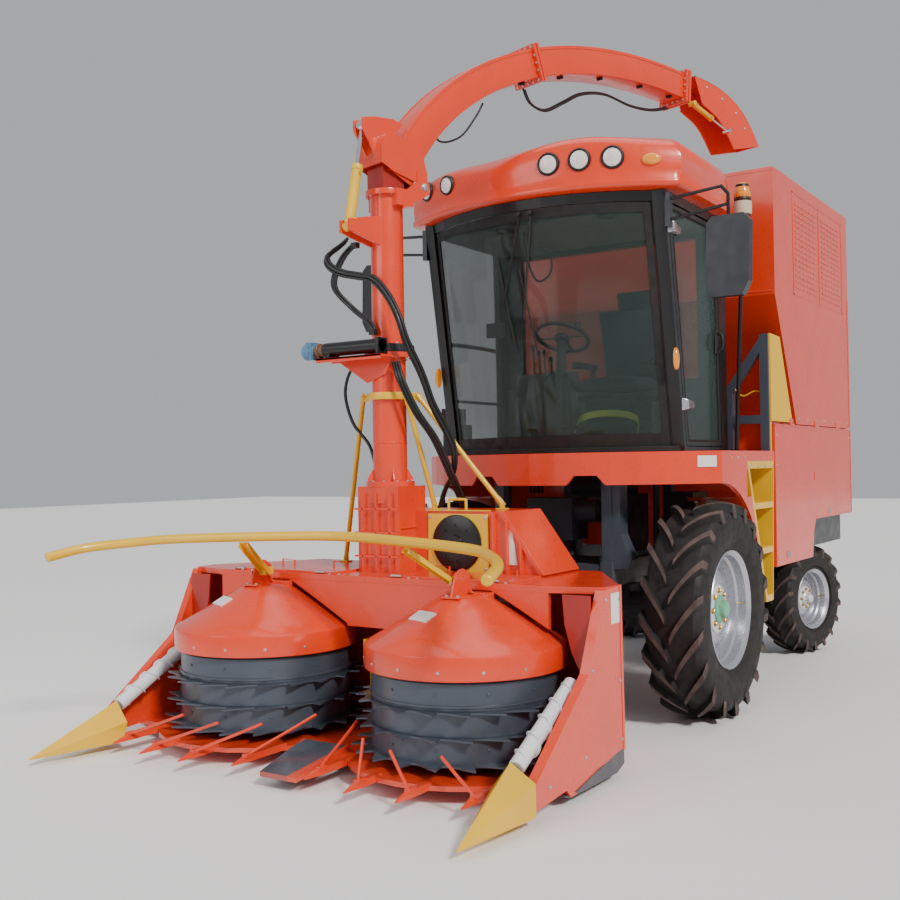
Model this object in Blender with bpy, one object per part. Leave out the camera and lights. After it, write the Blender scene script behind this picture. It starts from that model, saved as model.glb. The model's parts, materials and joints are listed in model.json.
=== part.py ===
"""A self-propelled forage harvester: a chassis with cab and engine body, and a two-drum row-crop
header that carries the chopper, the discharge column and the swivelling spout.

Everything is first placed in the chassis frame: the origin is on the ground under the middle of
the front axle, the machine faces -Y, +X is its left side and +Z is up. The root empty then moves
the whole machine so that the middle of its footprint stands at the world's origin.
"""

import math

import bmesh
import bpy
from mathutils import Matrix, Vector

# ---------------------------------------------------------------- driving dimensions (metres)
GAP = 0.0003            # left between two solids that touch
CLEAR = 0.006           # running clearance round a moving piece

FRONT_TYRE_RADIUS = 0.685
FRONT_TYRE_WIDTH = 0.378
FRONT_RIM_RADIUS = 0.352
FRONT_TRACK = 1.92
REAR_TYRE_RADIUS = 0.4525
REAR_TYRE_WIDTH = 0.274
REAR_RIM_RADIUS = 0.230
REAR_TRACK = 1.60
WHEELBASE = 2.72
KINGPIN_SPACING = 1.20
STEER_REST = math.radians(-14)      # the rear wheels are parked turned

RAIL_SPACING = 0.80     # between the middles of the two chassis rails
RAIL_WIDTH = 0.08
RAIL_HEIGHT = 0.16
RAIL_TOP = 0.98
RAIL_FRONT = -0.30
RAIL_REAR = 3.02

PLATFORM_HALF = 1.10
PLATFORM_TOP = 1.685
PLATFORM_FLOOR = 0.04
FASCIA_BOTTOM = 1.48
FASCIA_CORNER_Y = -0.07
FASCIA_BULGE = 0.50     # how far the middle of the fascia stands ahead of its corners
SHEET = 0.03            # a folded sheet-metal wall with its stiffening

BODY_FRONT = 1.00
BODY_REAR = 3.19
BODY_TOP = 3.725
BODY_SEAM = 1.885       # the joint between the side doors and the upper body
BODY_FLOOR = 0.865
REAR_ARCH_Y = 1.945
REAR_SKIRT_Z = 1.155

CAB_HALF = 0.885
CAB_FRONT = -0.14       # the windscreen pillars at the floor
CAB_REAR = 0.66
CAB_BULGE = 0.27        # the windscreen's bow ahead of its pillars
CAB_LEAN = 0.28         # how far the pillars lean forward at the top
CAB_TOP = 3.29
PILLAR = 0.07
GLASS = 0.010
ROOF_HEIGHT = 0.40
ROOF_HALF = 1.00

HEADER_X = -0.40        # the header is carried off-centre, to the machine's right
HEADER_HALF = 1.46
HEADER_WALL = 0.05
DECK_TOP = 0.99
DECK_THICKNESS = 0.035
DECK_FRONT = -1.75
DECK_REAR = -0.90
DRUM_SPACING = 1.4166
DRUM_Y = -1.84
DRUM_RADIUS = 0.50
DRUM_TOOTH_RADIUS = 0.585
DISC_RADIUS = 0.610
DRUM_BOTTOM = 0.145
COVER_RADIUS = 0.536
COVER_BOTTOM = 0.572
COVER_BAND = 0.123
COVER_TOP = 0.93
FLOOR_TOP = 0.105
FLOOR_THICKNESS = 0.025
HEADER_PIVOT_Y = 0.30
HEADER_PIVOT_Z = 1.05
ARM_SPACING = 0.50
ARM_WIDTH = 0.08

COLUMN_X = -0.50
COLUMN_Y = -1.39
COLUMN_RADIUS = 0.102
COLUMN_WALL = 0.010
COLUMN_FOOT = 1.50
SLEW_Z = 2.30
COLUMN_HEAD = 3.28
SPOUT_HEADING = math.radians(16)    # from straight back towards the machine's left
DUCT_WIDTH = 0.20
DUCT_HEIGHT = 0.19
DUCT_WALL = 0.012

ROUND = 20              # sides of a middling round piece
WHEEL_SIDES = 24


# ---------------------------------------------------------------- shapes
def solid_of(bm):
    bmesh.ops.recalc_face_normals(bm, faces=bm.faces)
    return bm


def box(low, high):
    bm = bmesh.new()
    corners = [
        bm.verts.new((x, y, z)) for x in (low[0], high[0]) for y in (low[1], high[1]) for z in (low[2], high[2])
    ]
    for face in ((0, 1, 3, 2), (4, 6, 7, 5), (0, 4, 5, 1), (2, 3, 7, 6), (0, 2, 6, 4), (1, 5, 7, 3)):
        bm.faces.new([corners[i] for i in face])
    return solid_of(bm)


def prism(outline, axis, start, end):
    """An outline of (y, z), (x, z) or (x, y) points, drawn out along X, Y or Z."""
    place = {
        "X": lambda a, b, t: (t, a, b),
        "Y": lambda a, b, t: (a, t, b),
        "Z": lambda a, b, t: (a, b, t),
    }[axis]
    return loft([[place(a, b, t) for a, b in outline] for t in (start, end)])


def loft(loops, closed=False):
    """Faces between successive loops of as many points, with flat ends unless it closes on itself."""
    bm = bmesh.new()
    rings = [[bm.verts.new(point) for point in loop] for loop in loops]
    count = len(rings[0])
    pairs = list(zip(rings, rings[1:] + rings[:1] if closed else rings[1:]))
    for one, two in pairs:
        for i in range(count):
            j = (i + 1) % count
            bm.faces.new((one[i], one[j], two[j], two[i]))
    if not closed:
        bm.faces.new(rings[0][::-1])
        bm.faces.new(rings[-1])
    return solid_of(bm)


def axes_across(direction):
    """Two unit vectors square to a direction, the second as near to upright as it can be."""
    direction = Vector(direction).normalized()
    level = Vector((0, 0, 1)) if abs(direction.z) < 0.99 else Vector((0, 1, 0))
    side = direction.cross(level).normalized()
    return side, side.cross(direction).normalized()


def turned(profile, centre, axis, sides=ROUND):
    """A closed profile of (radius, distance along the axis) points, turned about the axis."""
    bm = bmesh.new()
    centre = Vector(centre)
    direction = Vector(axis).normalized()
    side, up = axes_across(direction)
    rings = []
    for radius, along in profile:
        middle = centre + direction * along
        if radius < 1e-6:
            rings.append([bm.verts.new(middle)] * sides)
            continue
        angles = [2 * math.pi * (i + 0.5) / sides - math.pi / 2 - math.pi / sides for i in range(sides)]
        rings.append([bm.verts.new(middle + radius * (math.cos(a) * side + math.sin(a) * up)) for a in angles])
    for one, two in zip(rings, rings[1:] + rings[:1]):
        for i in range(sides):
            j = (i + 1) % sides
            corners = list(dict.fromkeys((one[i], one[j], two[j], two[i])))
            if len(corners) > 2:
                bm.faces.new(corners)
    return solid_of(bm)


def rod(start, end, radius, sides=12):
    """A round bar from one point to another."""
    length = (Vector(end) - Vector(start)).length
    profile = [(0, 0), (radius, 0), (radius, length), (0, length)]
    return turned(profile, start, Vector(end) - Vector(start), sides)


def pipe(start, end, outer, inner, sides=ROUND):
    length = (Vector(end) - Vector(start)).length
    profile = [(inner, 0), (outer, 0), (outer, length), (inner, length)]
    return turned(profile, start, Vector(end) - Vector(start), sides)


def bar(start, end, width, height):
    """A straight bar of rectangular section, its width level."""
    side, up = axes_across(Vector(end) - Vector(start))
    across, rise = side * width / 2, up * height / 2
    section = [-across - rise, across - rise, across + rise, -across + rise]
    return loft([[Vector(point) + corner for corner in section] for point in (start, end)])


def sweep(points, radius, sides=8):
    """A tube through a list of points, mitred at each."""
    points = [Vector(point) for point in points]
    loops = []
    side = None
    for i, point in enumerate(points):
        ahead = points[min(i + 1, len(points) - 1)] - point
        behind = point - points[max(i - 1, 0)]
        direction = (ahead.normalized() + behind.normalized()).normalized()
        if side is None:
            side, up = axes_across(direction)
        else:
            side = (side - direction * side.dot(direction)).normalized()
            up = side.cross(direction).normalized()
        angles = [2 * math.pi * k / sides for k in range(sides)]
        loops.append([point + radius * (math.cos(a) * side + math.sin(a) * up) for a in angles])
    return loft(loops)


def smooth_route(points, steps):
    """Points read from a smooth curve (Catmull-Rom) through the route's own points."""
    points = [Vector(point) for point in points]
    route = []
    for i in range(len(points) - 1):
        a = points[max(i - 1, 0)]
        b, c = points[i], points[i + 1]
        d = points[min(i + 2, len(points) - 1)]
        for k in range(steps):
            t = k / steps
            route.append(
                0.5 * (2 * b + (c - a) * t + (2 * a - 5 * b + 4 * c - d) * t**2 + (3 * b - a - 3 * c + d) * t**3)
            )
    return route + [points[-1]]


def arc(centre, radius, start, end, count):
    """Points (a, b) along a circle, angles in degrees."""
    angles = [math.radians(start + (end - start) * i / (count - 1)) for i in range(count)]
    return [(centre[0] + radius * math.cos(a), centre[1] + radius * math.sin(a)) for a in angles]


def bow(half_width, corner_y, bulge, count):
    """A shallow arc in plan from +X to -X whose middle stands ahead (-Y) of its ends."""
    radius = (half_width**2 + bulge**2) / (2 * bulge)
    reach = math.degrees(math.asin(half_width / radius))
    return arc((0, corner_y - bulge + radius), radius, -90 + reach, -90 - reach, count)


def moved(bm, matrix):
    bmesh.ops.transform(bm, matrix=matrix, verts=bm.verts)
    return bm


def mirrored(outline, middle=0.0):
    return [(2 * middle - a, b) for a, b in outline]


# ---------------------------------------------------------------- bodies, paints and nodes
BODIES = {}
PIVOTS = {}
PAINTS = {
    "orange": ((0.80, 0.13, 0.035), 0.32, 0.0),
    "deep_red": ((0.45, 0.03, 0.02), 0.35, 0.0),
    "yellow": ((0.78, 0.55, 0.03), 0.38, 0.0),
    "steel_blue": ((0.10, 0.115, 0.15), 0.45, 0.2),
    "drum_grey": ((0.12, 0.13, 0.16), 0.42, 0.3),
    "black": ((0.015, 0.015, 0.017), 0.45, 0.0),
    "rubber": ((0.022, 0.022, 0.022), 0.75, 0.0),
    "rim_silver": ((0.62, 0.63, 0.66), 0.32, 0.6),
    "white": ((0.80, 0.81, 0.83), 0.40, 0.0),
    "glass": ((0.35, 0.48, 0.44), 0.05, 0.0),
    "chrome": ((0.80, 0.80, 0.82), 0.12, 1.0),
    "seat_cloth": ((0.05, 0.055, 0.06), 0.85, 0.0),
    "cast": ((0.16, 0.17, 0.19), 0.55, 0.4),
}


def paint(name):
    material = bpy.data.materials.get(name)
    if material is None:
        color, roughness, metallic = PAINTS[name]
        material = bpy.data.materials.new(name)
        material.use_nodes = True
        shader = material.node_tree.nodes["Principled BSDF"]
        shader.inputs["Base Color"].default_value = (*color, 1.0)
        shader.inputs["Roughness"].default_value = roughness
        shader.inputs["Metallic"].default_value = metallic
    return material


def body(name, parent=None, pivot=(0, 0, 0), turn=0.0):
    """An empty on the body's joint, which carries the body's pieces and the bodies beyond it."""
    empty = bpy.data.objects.new(name + "_axis", None)
    bpy.context.scene.collection.objects.link(empty)
    if parent is not None:
        empty.parent = BODIES[parent]
        empty.location = Vector(pivot) - PIVOTS[parent]
    empty.rotation_euler.z = turn
    BODIES[name] = empty
    PIVOTS[name] = Vector(pivot)


def mesh_from(bm, name):
    mesh = bpy.data.meshes.new(name)
    bm.to_mesh(mesh)
    bm.free()
    return mesh


def fused(name, pieces, cuts):
    """One closed mesh: the union of the pieces, less the cuts."""
    scene = bpy.context.scene
    groups = {}
    for kind, shapes in (("UNION", pieces[1:]), ("DIFFERENCE", cuts)):
        groups[kind] = bpy.data.collections.new(name + kind)
        scene.collection.children.link(groups[kind])
        for shape in shapes:
            helper = bpy.data.objects.new(name + kind, mesh_from(shape, name + kind))
            groups[kind].objects.link(helper)
    main = bpy.data.objects.new(name + "_raw", mesh_from(pieces[0], name + "_raw"))
    scene.collection.objects.link(main)
    for kind, group in groups.items():
        if len(group.objects):
            modifier = main.modifiers.new(kind.lower(), "BOOLEAN")
            modifier.operation = kind
            modifier.operand_type = "COLLECTION"
            modifier.collection = group
            modifier.solver = "EXACT"
    graph = bpy.context.evaluated_depsgraph_get()
    mesh = bpy.data.meshes.new_from_object(main.evaluated_get(graph))
    for helper in [main] + [obj for group in groups.values() for obj in group.objects]:
        bpy.data.objects.remove(helper)
    for group in groups.values():
        bpy.data.collections.remove(group)
    return mesh


def node(name, on, colour, pieces, cuts=(), smooth=False):
    """Adds one sub-part: a closed body, on its body's empty, in its own paint."""
    if not isinstance(pieces, (list, tuple)):
        pieces = [pieces]
    if len(pieces) == 1 and not cuts:
        mesh = mesh_from(pieces[0], name)
    else:
        mesh = fused(name, list(pieces), list(cuts))
    mesh.name = name
    mesh.transform(Matrix.Translation(-PIVOTS[on]))
    mesh.materials.clear()
    mesh.materials.append(paint(colour))
    if smooth:
        mesh.shade_smooth()
        mesh.set_sharp_from_angle(angle=math.radians(35))
    obj = bpy.data.objects.new(name, mesh)
    obj.parent = BODIES[on]
    bpy.context.scene.collection.objects.link(obj)
    return obj


# ---------------------------------------------------------------- wheels and axles
def tyre_profile(radius, width, rim_radius):
    """The section of a tyre, from one bead over the tread to the other."""
    half = width / 2
    wall = radius - rim_radius
    bead = half * 0.78
    outer = [
        (rim_radius + GAP, bead),
        (rim_radius + 0.10 * wall, bead),
        (rim_radius + 0.40 * wall, half),
        (rim_radius + 0.90 * wall, half * 0.95),
        (radius, half * 0.72),
    ]
    return outer + [(r, -w) for r, w in reversed(outer)]


def rim_profile(width, rim_radius, disc_at):
    """The section of a rim: the barrel with its two flanges, the dished disc and the hub."""
    bead = width / 2 * 0.78 + GAP
    lip = rim_radius + 0.022
    barrel = rim_radius - 0.014
    return [
        (0, disc_at + 0.075),
        (0.070, disc_at + 0.075),
        (0.080, disc_at + 0.012),
        (barrel * 0.62, disc_at + 0.012),
        (barrel, disc_at - 0.035),
        (barrel, bead + 0.014),
        (lip, bead + 0.014),
        (lip, bead),
        (rim_radius, bead),
        (rim_radius, -bead),
        (lip, -bead),
        (lip, -bead - 0.014),
        (barrel, -bead - 0.014),
        (barrel, disc_at - 0.055),
        (barrel * 0.62, disc_at - 0.008),
        (0, disc_at - 0.008),
    ]


def wheel(name, on, centre, outward, radius, width, rim_radius, disc_at):
    axis = (outward, 0, 0)
    node(name + "_tyre", on, "rubber", turned(tyre_profile(radius, width, rim_radius), centre, axis, WHEEL_SIDES), smooth=True)
    node(name + "_rim", on, "rim_silver", turned(rim_profile(width, rim_radius, disc_at), centre, axis, WHEEL_SIDES), smooth=True)


FRONT_DISC = 0.055      # the front disc, outboard of the tyre's middle
REAR_DISC = 0.020


def running_gear():
    for side, outward in (("left", 1), ("right", -1)):
        centre = Vector((outward * FRONT_TRACK / 2, 0, FRONT_TYRE_RADIUS))
        body("front_wheel_" + side, "chassis", centre)
        wheel("front_wheel_" + side, "front_wheel_" + side, centre, outward,
              FRONT_TYRE_RADIUS, FRONT_TYRE_WIDTH, FRONT_RIM_RADIUS, FRONT_DISC)
        kingpin = Vector((outward * KINGPIN_SPACING / 2, WHEELBASE, REAR_TYRE_RADIUS))
        body("knuckle_" + side, "chassis", kingpin, STEER_REST)
        centre = Vector((outward * REAR_TRACK / 2, WHEELBASE, REAR_TYRE_RADIUS))
        body("rear_wheel_" + side, "knuckle_" + side, centre)
        wheel("rear_wheel_" + side, "rear_wheel_" + side, centre, outward,
              REAR_TYRE_RADIUS, REAR_TYRE_WIDTH, REAR_RIM_RADIUS, REAR_DISC)
        spindle_end = centre + Vector((outward * (REAR_DISC - 0.008 - CLEAR), 0, 0))
        node("steering_knuckle_" + side, "knuckle_" + side, "cast", [
            rod(kingpin - Vector((0, 0, 0.12)), kingpin + Vector((0, 0, 0.12)), 0.042, 16),
            rod(kingpin, spindle_end, 0.055, 16),
        ], smooth=True)
    front_axle()
    rear_axle()


def front_axle():
    """The driven beam with its gear case, wheel drums and the pads that bolt it under the rails."""
    z = FRONT_TYRE_RADIUS
    rail_x = RAIL_SPACING / 2
    drum_end = FRONT_TRACK / 2 + FRONT_DISC - 0.008 - CLEAR
    pieces = [rod((-0.68, 0, z), (0.68, 0, z), 0.085, 16), turned(
        [(0, -0.19), (0.13, -0.19), (0.20, -0.08), (0.20, 0.08), (0.13, 0.19), (0, 0.19)], (0, 0, z), (0, 1, 0), 16)]
    for side in (-1, 1):
        pieces += [
            turned([(0, 0), (0.17, 0), (0.19, 0.04), (0.19, 0.12), (0.13, 0.16), (0.13, drum_end - 0.60),
                    (0, drum_end - 0.60)], (side * 0.60, 0, z), (side, 0, 0), 16),
            box((side * rail_x - 0.06, -0.08, z), (side * rail_x + 0.06, 0.08, RAIL_TOP - RAIL_HEIGHT - GAP)),
        ]
    node("front_axle", "chassis", "cast", pieces, smooth=True)


def rear_axle():
    """The steered axle beam, hung from the chassis by its middle, with a fork for each kingpin."""
    z = REAR_TYRE_RADIUS
    y = WHEELBASE
    reach = KINGPIN_SPACING / 2
    pieces = [
        box((-reach + 0.06, y - 0.05, z - 0.06), (reach - 0.06, y + 0.05, z + 0.06)),
        box((-0.10, y - 0.07, z), (0.10, y + 0.07, RAIL_TOP - RAIL_HEIGHT - GAP)),
    ]
    for side in (-1, 1):
        for low, high in ((0.12 + CLEAR, 0.16), (-0.16, -0.12 - CLEAR)):
            near, far = sorted((side * (reach - 0.08), side * (reach + 0.05)))
            pieces.append(box((near, y - 0.045, z + low), (far, y + 0.045, z + high)))
        inner, outer = sorted((side * (reach - 0.10), side * (reach - 0.056)))
        pieces.append(box((inner, y - 0.045, z - 0.16), (outer, y + 0.045, z + 0.16)))
    node("rear_axle", "chassis", "cast", pieces)


# ---------------------------------------------------------------- chassis
def chassis_frame():
    rail_x = RAIL_SPACING / 2
    bottom = RAIL_TOP - RAIL_HEIGHT
    pieces = []
    for side in (-1, 1):
        x = side * rail_x
        pieces.append(box((x - RAIL_WIDTH / 2, RAIL_FRONT, bottom), (x + RAIL_WIDTH / 2, RAIL_REAR, RAIL_TOP)))
        for y in (RAIL_FRONT + 0.02, 0.74):
            pieces.append(box((x - 0.035, y, RAIL_TOP - 0.02), (x + 0.035, y + 0.07, PLATFORM_TOP - PLATFORM_FLOOR - GAP)))
        low, high = sorted((x, side * (PLATFORM_HALF - 2 * SHEET - CLEAR - GAP)))
        pieces.append(box((low, BODY_FRONT + SHEET + GAP, RAIL_TOP - 0.08), (high, BODY_FRONT + SHEET + 0.09, RAIL_TOP)))
        pieces.append(box((x - 0.03, RAIL_REAR - 0.06, RAIL_TOP - 0.02), (x + 0.03, RAIL_REAR, REAR_SKIRT_Z + 0.05)))
    wall_inside = PLATFORM_HALF - 2 * SHEET - CLEAR - GAP
    pieces.append(box((-wall_inside, RAIL_REAR - 0.06, REAR_SKIRT_Z + 0.02), (wall_inside, RAIL_REAR, REAR_SKIRT_Z + 0.10)))
    for y in (1.95, WHEELBASE - 0.08, RAIL_REAR - 0.10):
        pieces.append(box((-rail_x, y, bottom), (rail_x, y + 0.10, RAIL_TOP - 0.02)))
    lug_end = HEADER_X - LIFT_BARREL - CLEAR - 0.015
    pieces.append(box((lug_end, RAIL_FRONT + 0.01, bottom), (rail_x, RAIL_FRONT + 0.11, RAIL_TOP - 0.02)))
    left_arm = HEADER_X - ARM_SPACING / 2
    pieces.append(box((left_arm - 0.09, HEADER_PIVOT_Y - 0.06, bottom), (rail_x, HEADER_PIVOT_Y + 0.06, RAIL_TOP - 0.02)))
    for arm_x in (left_arm, HEADER_X + ARM_SPACING / 2):
        for side in (-1, 1):
            inner = arm_x + side * (ARM_WIDTH / 2 + CLEAR)
            low, high = sorted((inner, inner + side * 0.015))
            pieces.append(prism([(HEADER_PIVOT_Y - 0.06, RAIL_TOP - 0.05), (HEADER_PIVOT_Y + 0.06, RAIL_TOP - 0.05),
                                 (HEADER_PIVOT_Y + 0.05, HEADER_PIVOT_Z + 0.06), (HEADER_PIVOT_Y - 0.05, HEADER_PIVOT_Z + 0.06)],
                                "X", low, high))
    lug = LIFT_BASE[1]
    for side in (-1, 1):
        inner = HEADER_X + side * (LIFT_BARREL + CLEAR)
        low, high = sorted((inner, inner + side * 0.015))
        pieces.append(prism([(RAIL_FRONT + 0.01, bottom + 0.05), (RAIL_FRONT + 0.11, bottom + 0.05),
                             (lug + 0.05, LIFT_BASE[2] - 0.05), (lug - 0.05, LIFT_BASE[2] - 0.05)], "X", low, high))
    # A drop housing hangs under the platform, ahead of the left wheel.
    pieces.append(prism([(0.41, PLATFORM_TOP - PLATFORM_FLOOR - GAP), (0.41, 1.16), (0.34, 0.995), (0.36, 0.94),
                         (0.54, 0.94), (0.56, 0.995), (0.49, 1.16), (0.49, PLATFORM_TOP - PLATFORM_FLOOR - GAP)],
                        "Y", RAIL_FRONT + 0.03, RAIL_FRONT + 0.15))
    node("chassis_frame", "chassis", "steel_blue", pieces)


ARCH_CENTRE = (-0.09, 0.71)     # (y, z) of the front wheel arch
ARCH_RADIUS = 0.775
LADDER_TOP = 1.615
LADDER_BOTTOM = 0.645
LADDER_DEPTH = 0.22


def ladder_edge(z):
    """The ladder's front stile leans back as it goes down: its Y at a height."""
    return 0.406 + (LADDER_TOP - z) * 0.372


def ladder_back(z):
    return BODY_FRONT - 0.012 - (LADDER_TOP - z) * 0.07


def platform():
    """The operator's platform: its floor, the bowed fascia, the side skirts and the arch liners."""
    front = bow(PLATFORM_HALF, FASCIA_CORNER_Y, FASCIA_BULGE, 15)
    inner = bow(PLATFORM_HALF - SHEET, FASCIA_CORNER_Y + 0.012, FASCIA_BULGE - 0.012, 15)
    rear = BODY_FRONT - GAP
    outline = front + [(-PLATFORM_HALF, rear), (PLATFORM_HALF, rear)]
    hollow = inner + [(-PLATFORM_HALF + SHEET, rear + 0.1), (PLATFORM_HALF - SHEET, rear + 0.1)]
    pieces = [prism(outline, "Z", FASCIA_BOTTOM, PLATFORM_TOP)]
    cuts = [prism(hollow, "Z", FASCIA_BOTTOM - 0.1, PLATFORM_TOP - PLATFORM_FLOOR)]
    for notch_x in (-0.37, 0.37):
        notch = [(notch_x - 0.13, FASCIA_BOTTOM - 0.01), (notch_x - 0.07, FASCIA_BOTTOM + 0.06),
                 (notch_x + 0.07, FASCIA_BOTTOM + 0.06), (notch_x + 0.13, FASCIA_BOTTOM - 0.01)]
        cuts.append(prism(notch, "Y", -0.7, -0.3))
    strip_low = 0.98
    start = math.degrees(math.asin((strip_low - ARCH_CENTRE[1]) / ARCH_RADIUS))
    arch = arc(ARCH_CENTRE, ARCH_RADIUS, 88, start, 9)
    for side in (1, -1):
        low, high = sorted((side * (PLATFORM_HALF - SHEET), side * PLATFORM_HALF))
        back = ladder_edge if side > 0 else (lambda z: rear)
        strip = [(arch[0][0], FASCIA_BOTTOM + 0.03)] + arch
        strip += [(back(z) - GAP, z) for z in (strip_low, FASCIA_BOTTOM + 0.03)]
        pieces.append(prism(strip, "X", low, high))
        liner = arc(ARCH_CENTRE, ARCH_RADIUS - 0.004, 87, start + 10, 9)
        liner += arc(ARCH_CENTRE, ARCH_RADIUS + 0.009, start + 10, 87, 9)
        low, high = sorted((side * (PLATFORM_HALF - SHEET / 2), side * 0.72))
        pieces.append(prism(liner, "X", low, high))
    cuts.append(box((PLATFORM_HALF - LADDER_DEPTH - 0.01, ladder_edge(LADDER_TOP), FASCIA_BOTTOM - 0.1),
                    (PLATFORM_HALF + 0.1, rear + 0.1, LADDER_TOP + GAP)))
    node("platform", "chassis", "orange", pieces, cuts)


def ladder():
    """The boarding ladder: two slanting side plates, three treads, the foot and the top bar."""
    x_out = PLATFORM_HALF
    x_in = PLATFORM_HALF - LADDER_DEPTH
    top, bottom = LADDER_TOP, LADDER_BOTTOM
    thick = 0.012
    front = [(ladder_edge(top), top), (ladder_edge(bottom), bottom)]
    back = [(ladder_back(top), top), (ladder_back(bottom), bottom)]
    pieces = [
        prism(front + [(y + 0.035, z) for y, z in reversed(front)], "X", x_out - 0.03, x_out),
        prism(back + [(y - thick, z) for y, z in reversed(back)], "X", x_in, x_out),
        box((x_in, ladder_edge(top) + 0.01, top - 0.05), (x_out, ladder_back(top) - 0.005, top)),
    ]
    for z in (1.31, 1.00, bottom + 0.02):
        pieces.append(box((x_in, ladder_edge(z) + 0.01, z - 0.02), (x_out, ladder_back(z) - 0.005, z + 0.02)))
    node("ladder", "chassis", "yellow", pieces)


def guard_rail():
    """The guard beside the ladder's head: posts, a rail and a brace, with the yellow side plate."""
    y0, y1 = BODY_FRONT - 0.075, BODY_FRONT - 0.015
    foot = PLATFORM_TOP + GAP
    x_post = PLATFORM_HALF - 0.035
    x_near = 0.80
    pieces = [
        box((x_post - 0.035, y0, foot), (x_post + 0.025, y1, 2.51)),
        box((x_near - 0.03, y0, foot), (x_near + 0.03, y1, 2.14)),
        box((x_near, y0, 1.88), (x_post, y1, 1.94)),
        bar((x_near, (y0 + y1) / 2, 2.11), (x_post, (y0 + y1) / 2, 2.48), 0.06, 0.06),
        prism([(y1 - 0.03, 2.515), (1.183, 2.508), (1.463, BODY_SEAM + 0.012), (y1 - 0.03, BODY_SEAM + 0.012)],
              "X", x_post + 0.020, x_post + 0.035),
    ]
    node("guard_rail", "chassis", "steel_blue", pieces)


# ---------------------------------------------------------------- rear body
SLOPE_TOP = (1.09, 2.81)        # (y, z) where the upper front wall starts to slope back
SLOPE_FOOT = (1.565, BODY_SEAM)


def rear_body():
    """The engine body: a sheet shell, open below and at both sides where the doors hang."""
    half = PLATFORM_HALF
    inner = half - SHEET
    frame = inner - CLEAR
    rail_reach = RAIL_SPACING / 2 + RAIL_WIDTH / 2 + 0.01
    upper = [(SLOPE_TOP[0], BODY_TOP), SLOPE_TOP, SLOPE_FOOT, (BODY_REAR, BODY_SEAM), (BODY_REAR, BODY_TOP)]
    t = SHEET
    hollow = [(SLOPE_TOP[0] + t, BODY_TOP - t), (SLOPE_TOP[0] + t, SLOPE_TOP[1] + 0.01),
              (SLOPE_FOOT[0] + t + 0.01, BODY_SEAM), (SLOPE_FOOT[0] + t + 0.01, BODY_SEAM - 0.02),
              (BODY_REAR - t, BODY_SEAM - 0.02), (BODY_REAR - t, BODY_TOP - t)]
    lower = [(BODY_FRONT, BODY_FLOOR), (BODY_FRONT, BODY_SEAM + 0.01), (BODY_REAR, BODY_SEAM + 0.01),
             (BODY_REAR, REAR_SKIRT_Z), (BODY_REAR - 0.07, REAR_SKIRT_Z), (BODY_REAR - 0.07, BODY_FLOOR + 0.3),
             (BODY_FRONT + 0.07, BODY_FLOOR + 0.3), (BODY_FRONT + 0.07, BODY_FLOOR)]
    pieces = [prism(upper, "X", -half, half), prism(lower, "X", -frame, frame)]
    cuts = [
        prism(hollow, "X", -inner, inner),
        box((-frame + t, BODY_FRONT + t, 0), (frame - t, BODY_REAR - t, BODY_SEAM - 0.02)),
        box((-half - 0.1, BODY_FRONT + 0.07, 0), (half + 0.1, BODY_REAR - 0.07, BODY_SEAM - 0.07)),
        box((-rail_reach, BODY_FRONT - 0.1, 0), (rail_reach, BODY_FRONT + 0.1, RAIL_TOP + 0.01)),
    ]
    node("rear_body", "chassis", "orange", pieces, cuts)


DOOR_TOP = BODY_SEAM - CLEAR


def side_doors():
    """The side panels hang from hinges along their top edge; each is cut out over the rear wheel."""
    outline = [(BODY_FRONT + CLEAR, BODY_FLOOR), (BODY_FRONT + CLEAR, DOOR_TOP), (BODY_REAR, DOOR_TOP),
               (BODY_REAR, REAR_SKIRT_Z), (REAR_ARCH_Y + 0.105, REAR_SKIRT_Z), (REAR_ARCH_Y + 0.045, REAR_SKIRT_Z - 0.09),
               (REAR_ARCH_Y, BODY_FLOOR)]
    for side, name in ((1, "left"), (-1, "right")):
        low, high = sorted((side * (PLATFORM_HALF - SHEET), side * PLATFORM_HALF))
        body("side_door_" + name, "chassis", (side * PLATFORM_HALF, (BODY_FRONT + BODY_REAR) / 2, DOOR_TOP))
        node("side_door_" + name, "side_door_" + name, "orange", prism(outline, "X", low, high))


def under_body():
    node("engine", "chassis", "cast", box((-0.42, 1.55, RAIL_TOP + GAP), (0.42, 2.65, 1.72)))
    tank_in = RAIL_SPACING / 2 + RAIL_WIDTH / 2 + GAP
    node("fuel_tank", "chassis", "black",
         box((tank_in, REAR_ARCH_Y + 0.115, 0.93), (PLATFORM_HALF - 2 * SHEET - CLEAR - 0.005, 3.07, REAR_SKIRT_Z - 0.010)))


# ---------------------------------------------------------------- cab
CAB_FLOOR = PLATFORM_TOP + GAP


def leaning(bm):
    """Leans the upright cab: the front goes forward with height, and the rear wall stays upright."""
    for vert in bm.verts:
        height = (vert.co.z - CAB_FLOOR) / (CAB_TOP - CAB_FLOOR)
        share = min(1.0, (CAB_REAR - vert.co.y) / (CAB_REAR - CAB_FRONT))
        vert.co.y -= CAB_LEAN * height * share
    return bm


def cab_outline(inset, count=11):
    front = bow(CAB_HALF - PILLAR - inset, CAB_FRONT, CAB_BULGE, count)
    front = [(x, y + inset) for x, y in front]
    half = CAB_HALF - inset
    return [(half, CAB_REAR - inset), (half, CAB_FRONT + inset)] + front + [(-half, CAB_FRONT + inset), (-half, CAB_REAR - inset)]


def lean_at(y, z):
    """Where a point of the upright cab stands once the cab leans."""
    height = (z - CAB_FLOOR) / (CAB_TOP - CAB_FLOOR)
    share = min(1.0, (CAB_REAR - y) / (CAB_REAR - CAB_FRONT))
    return y - CAB_LEAN * height * share


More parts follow.
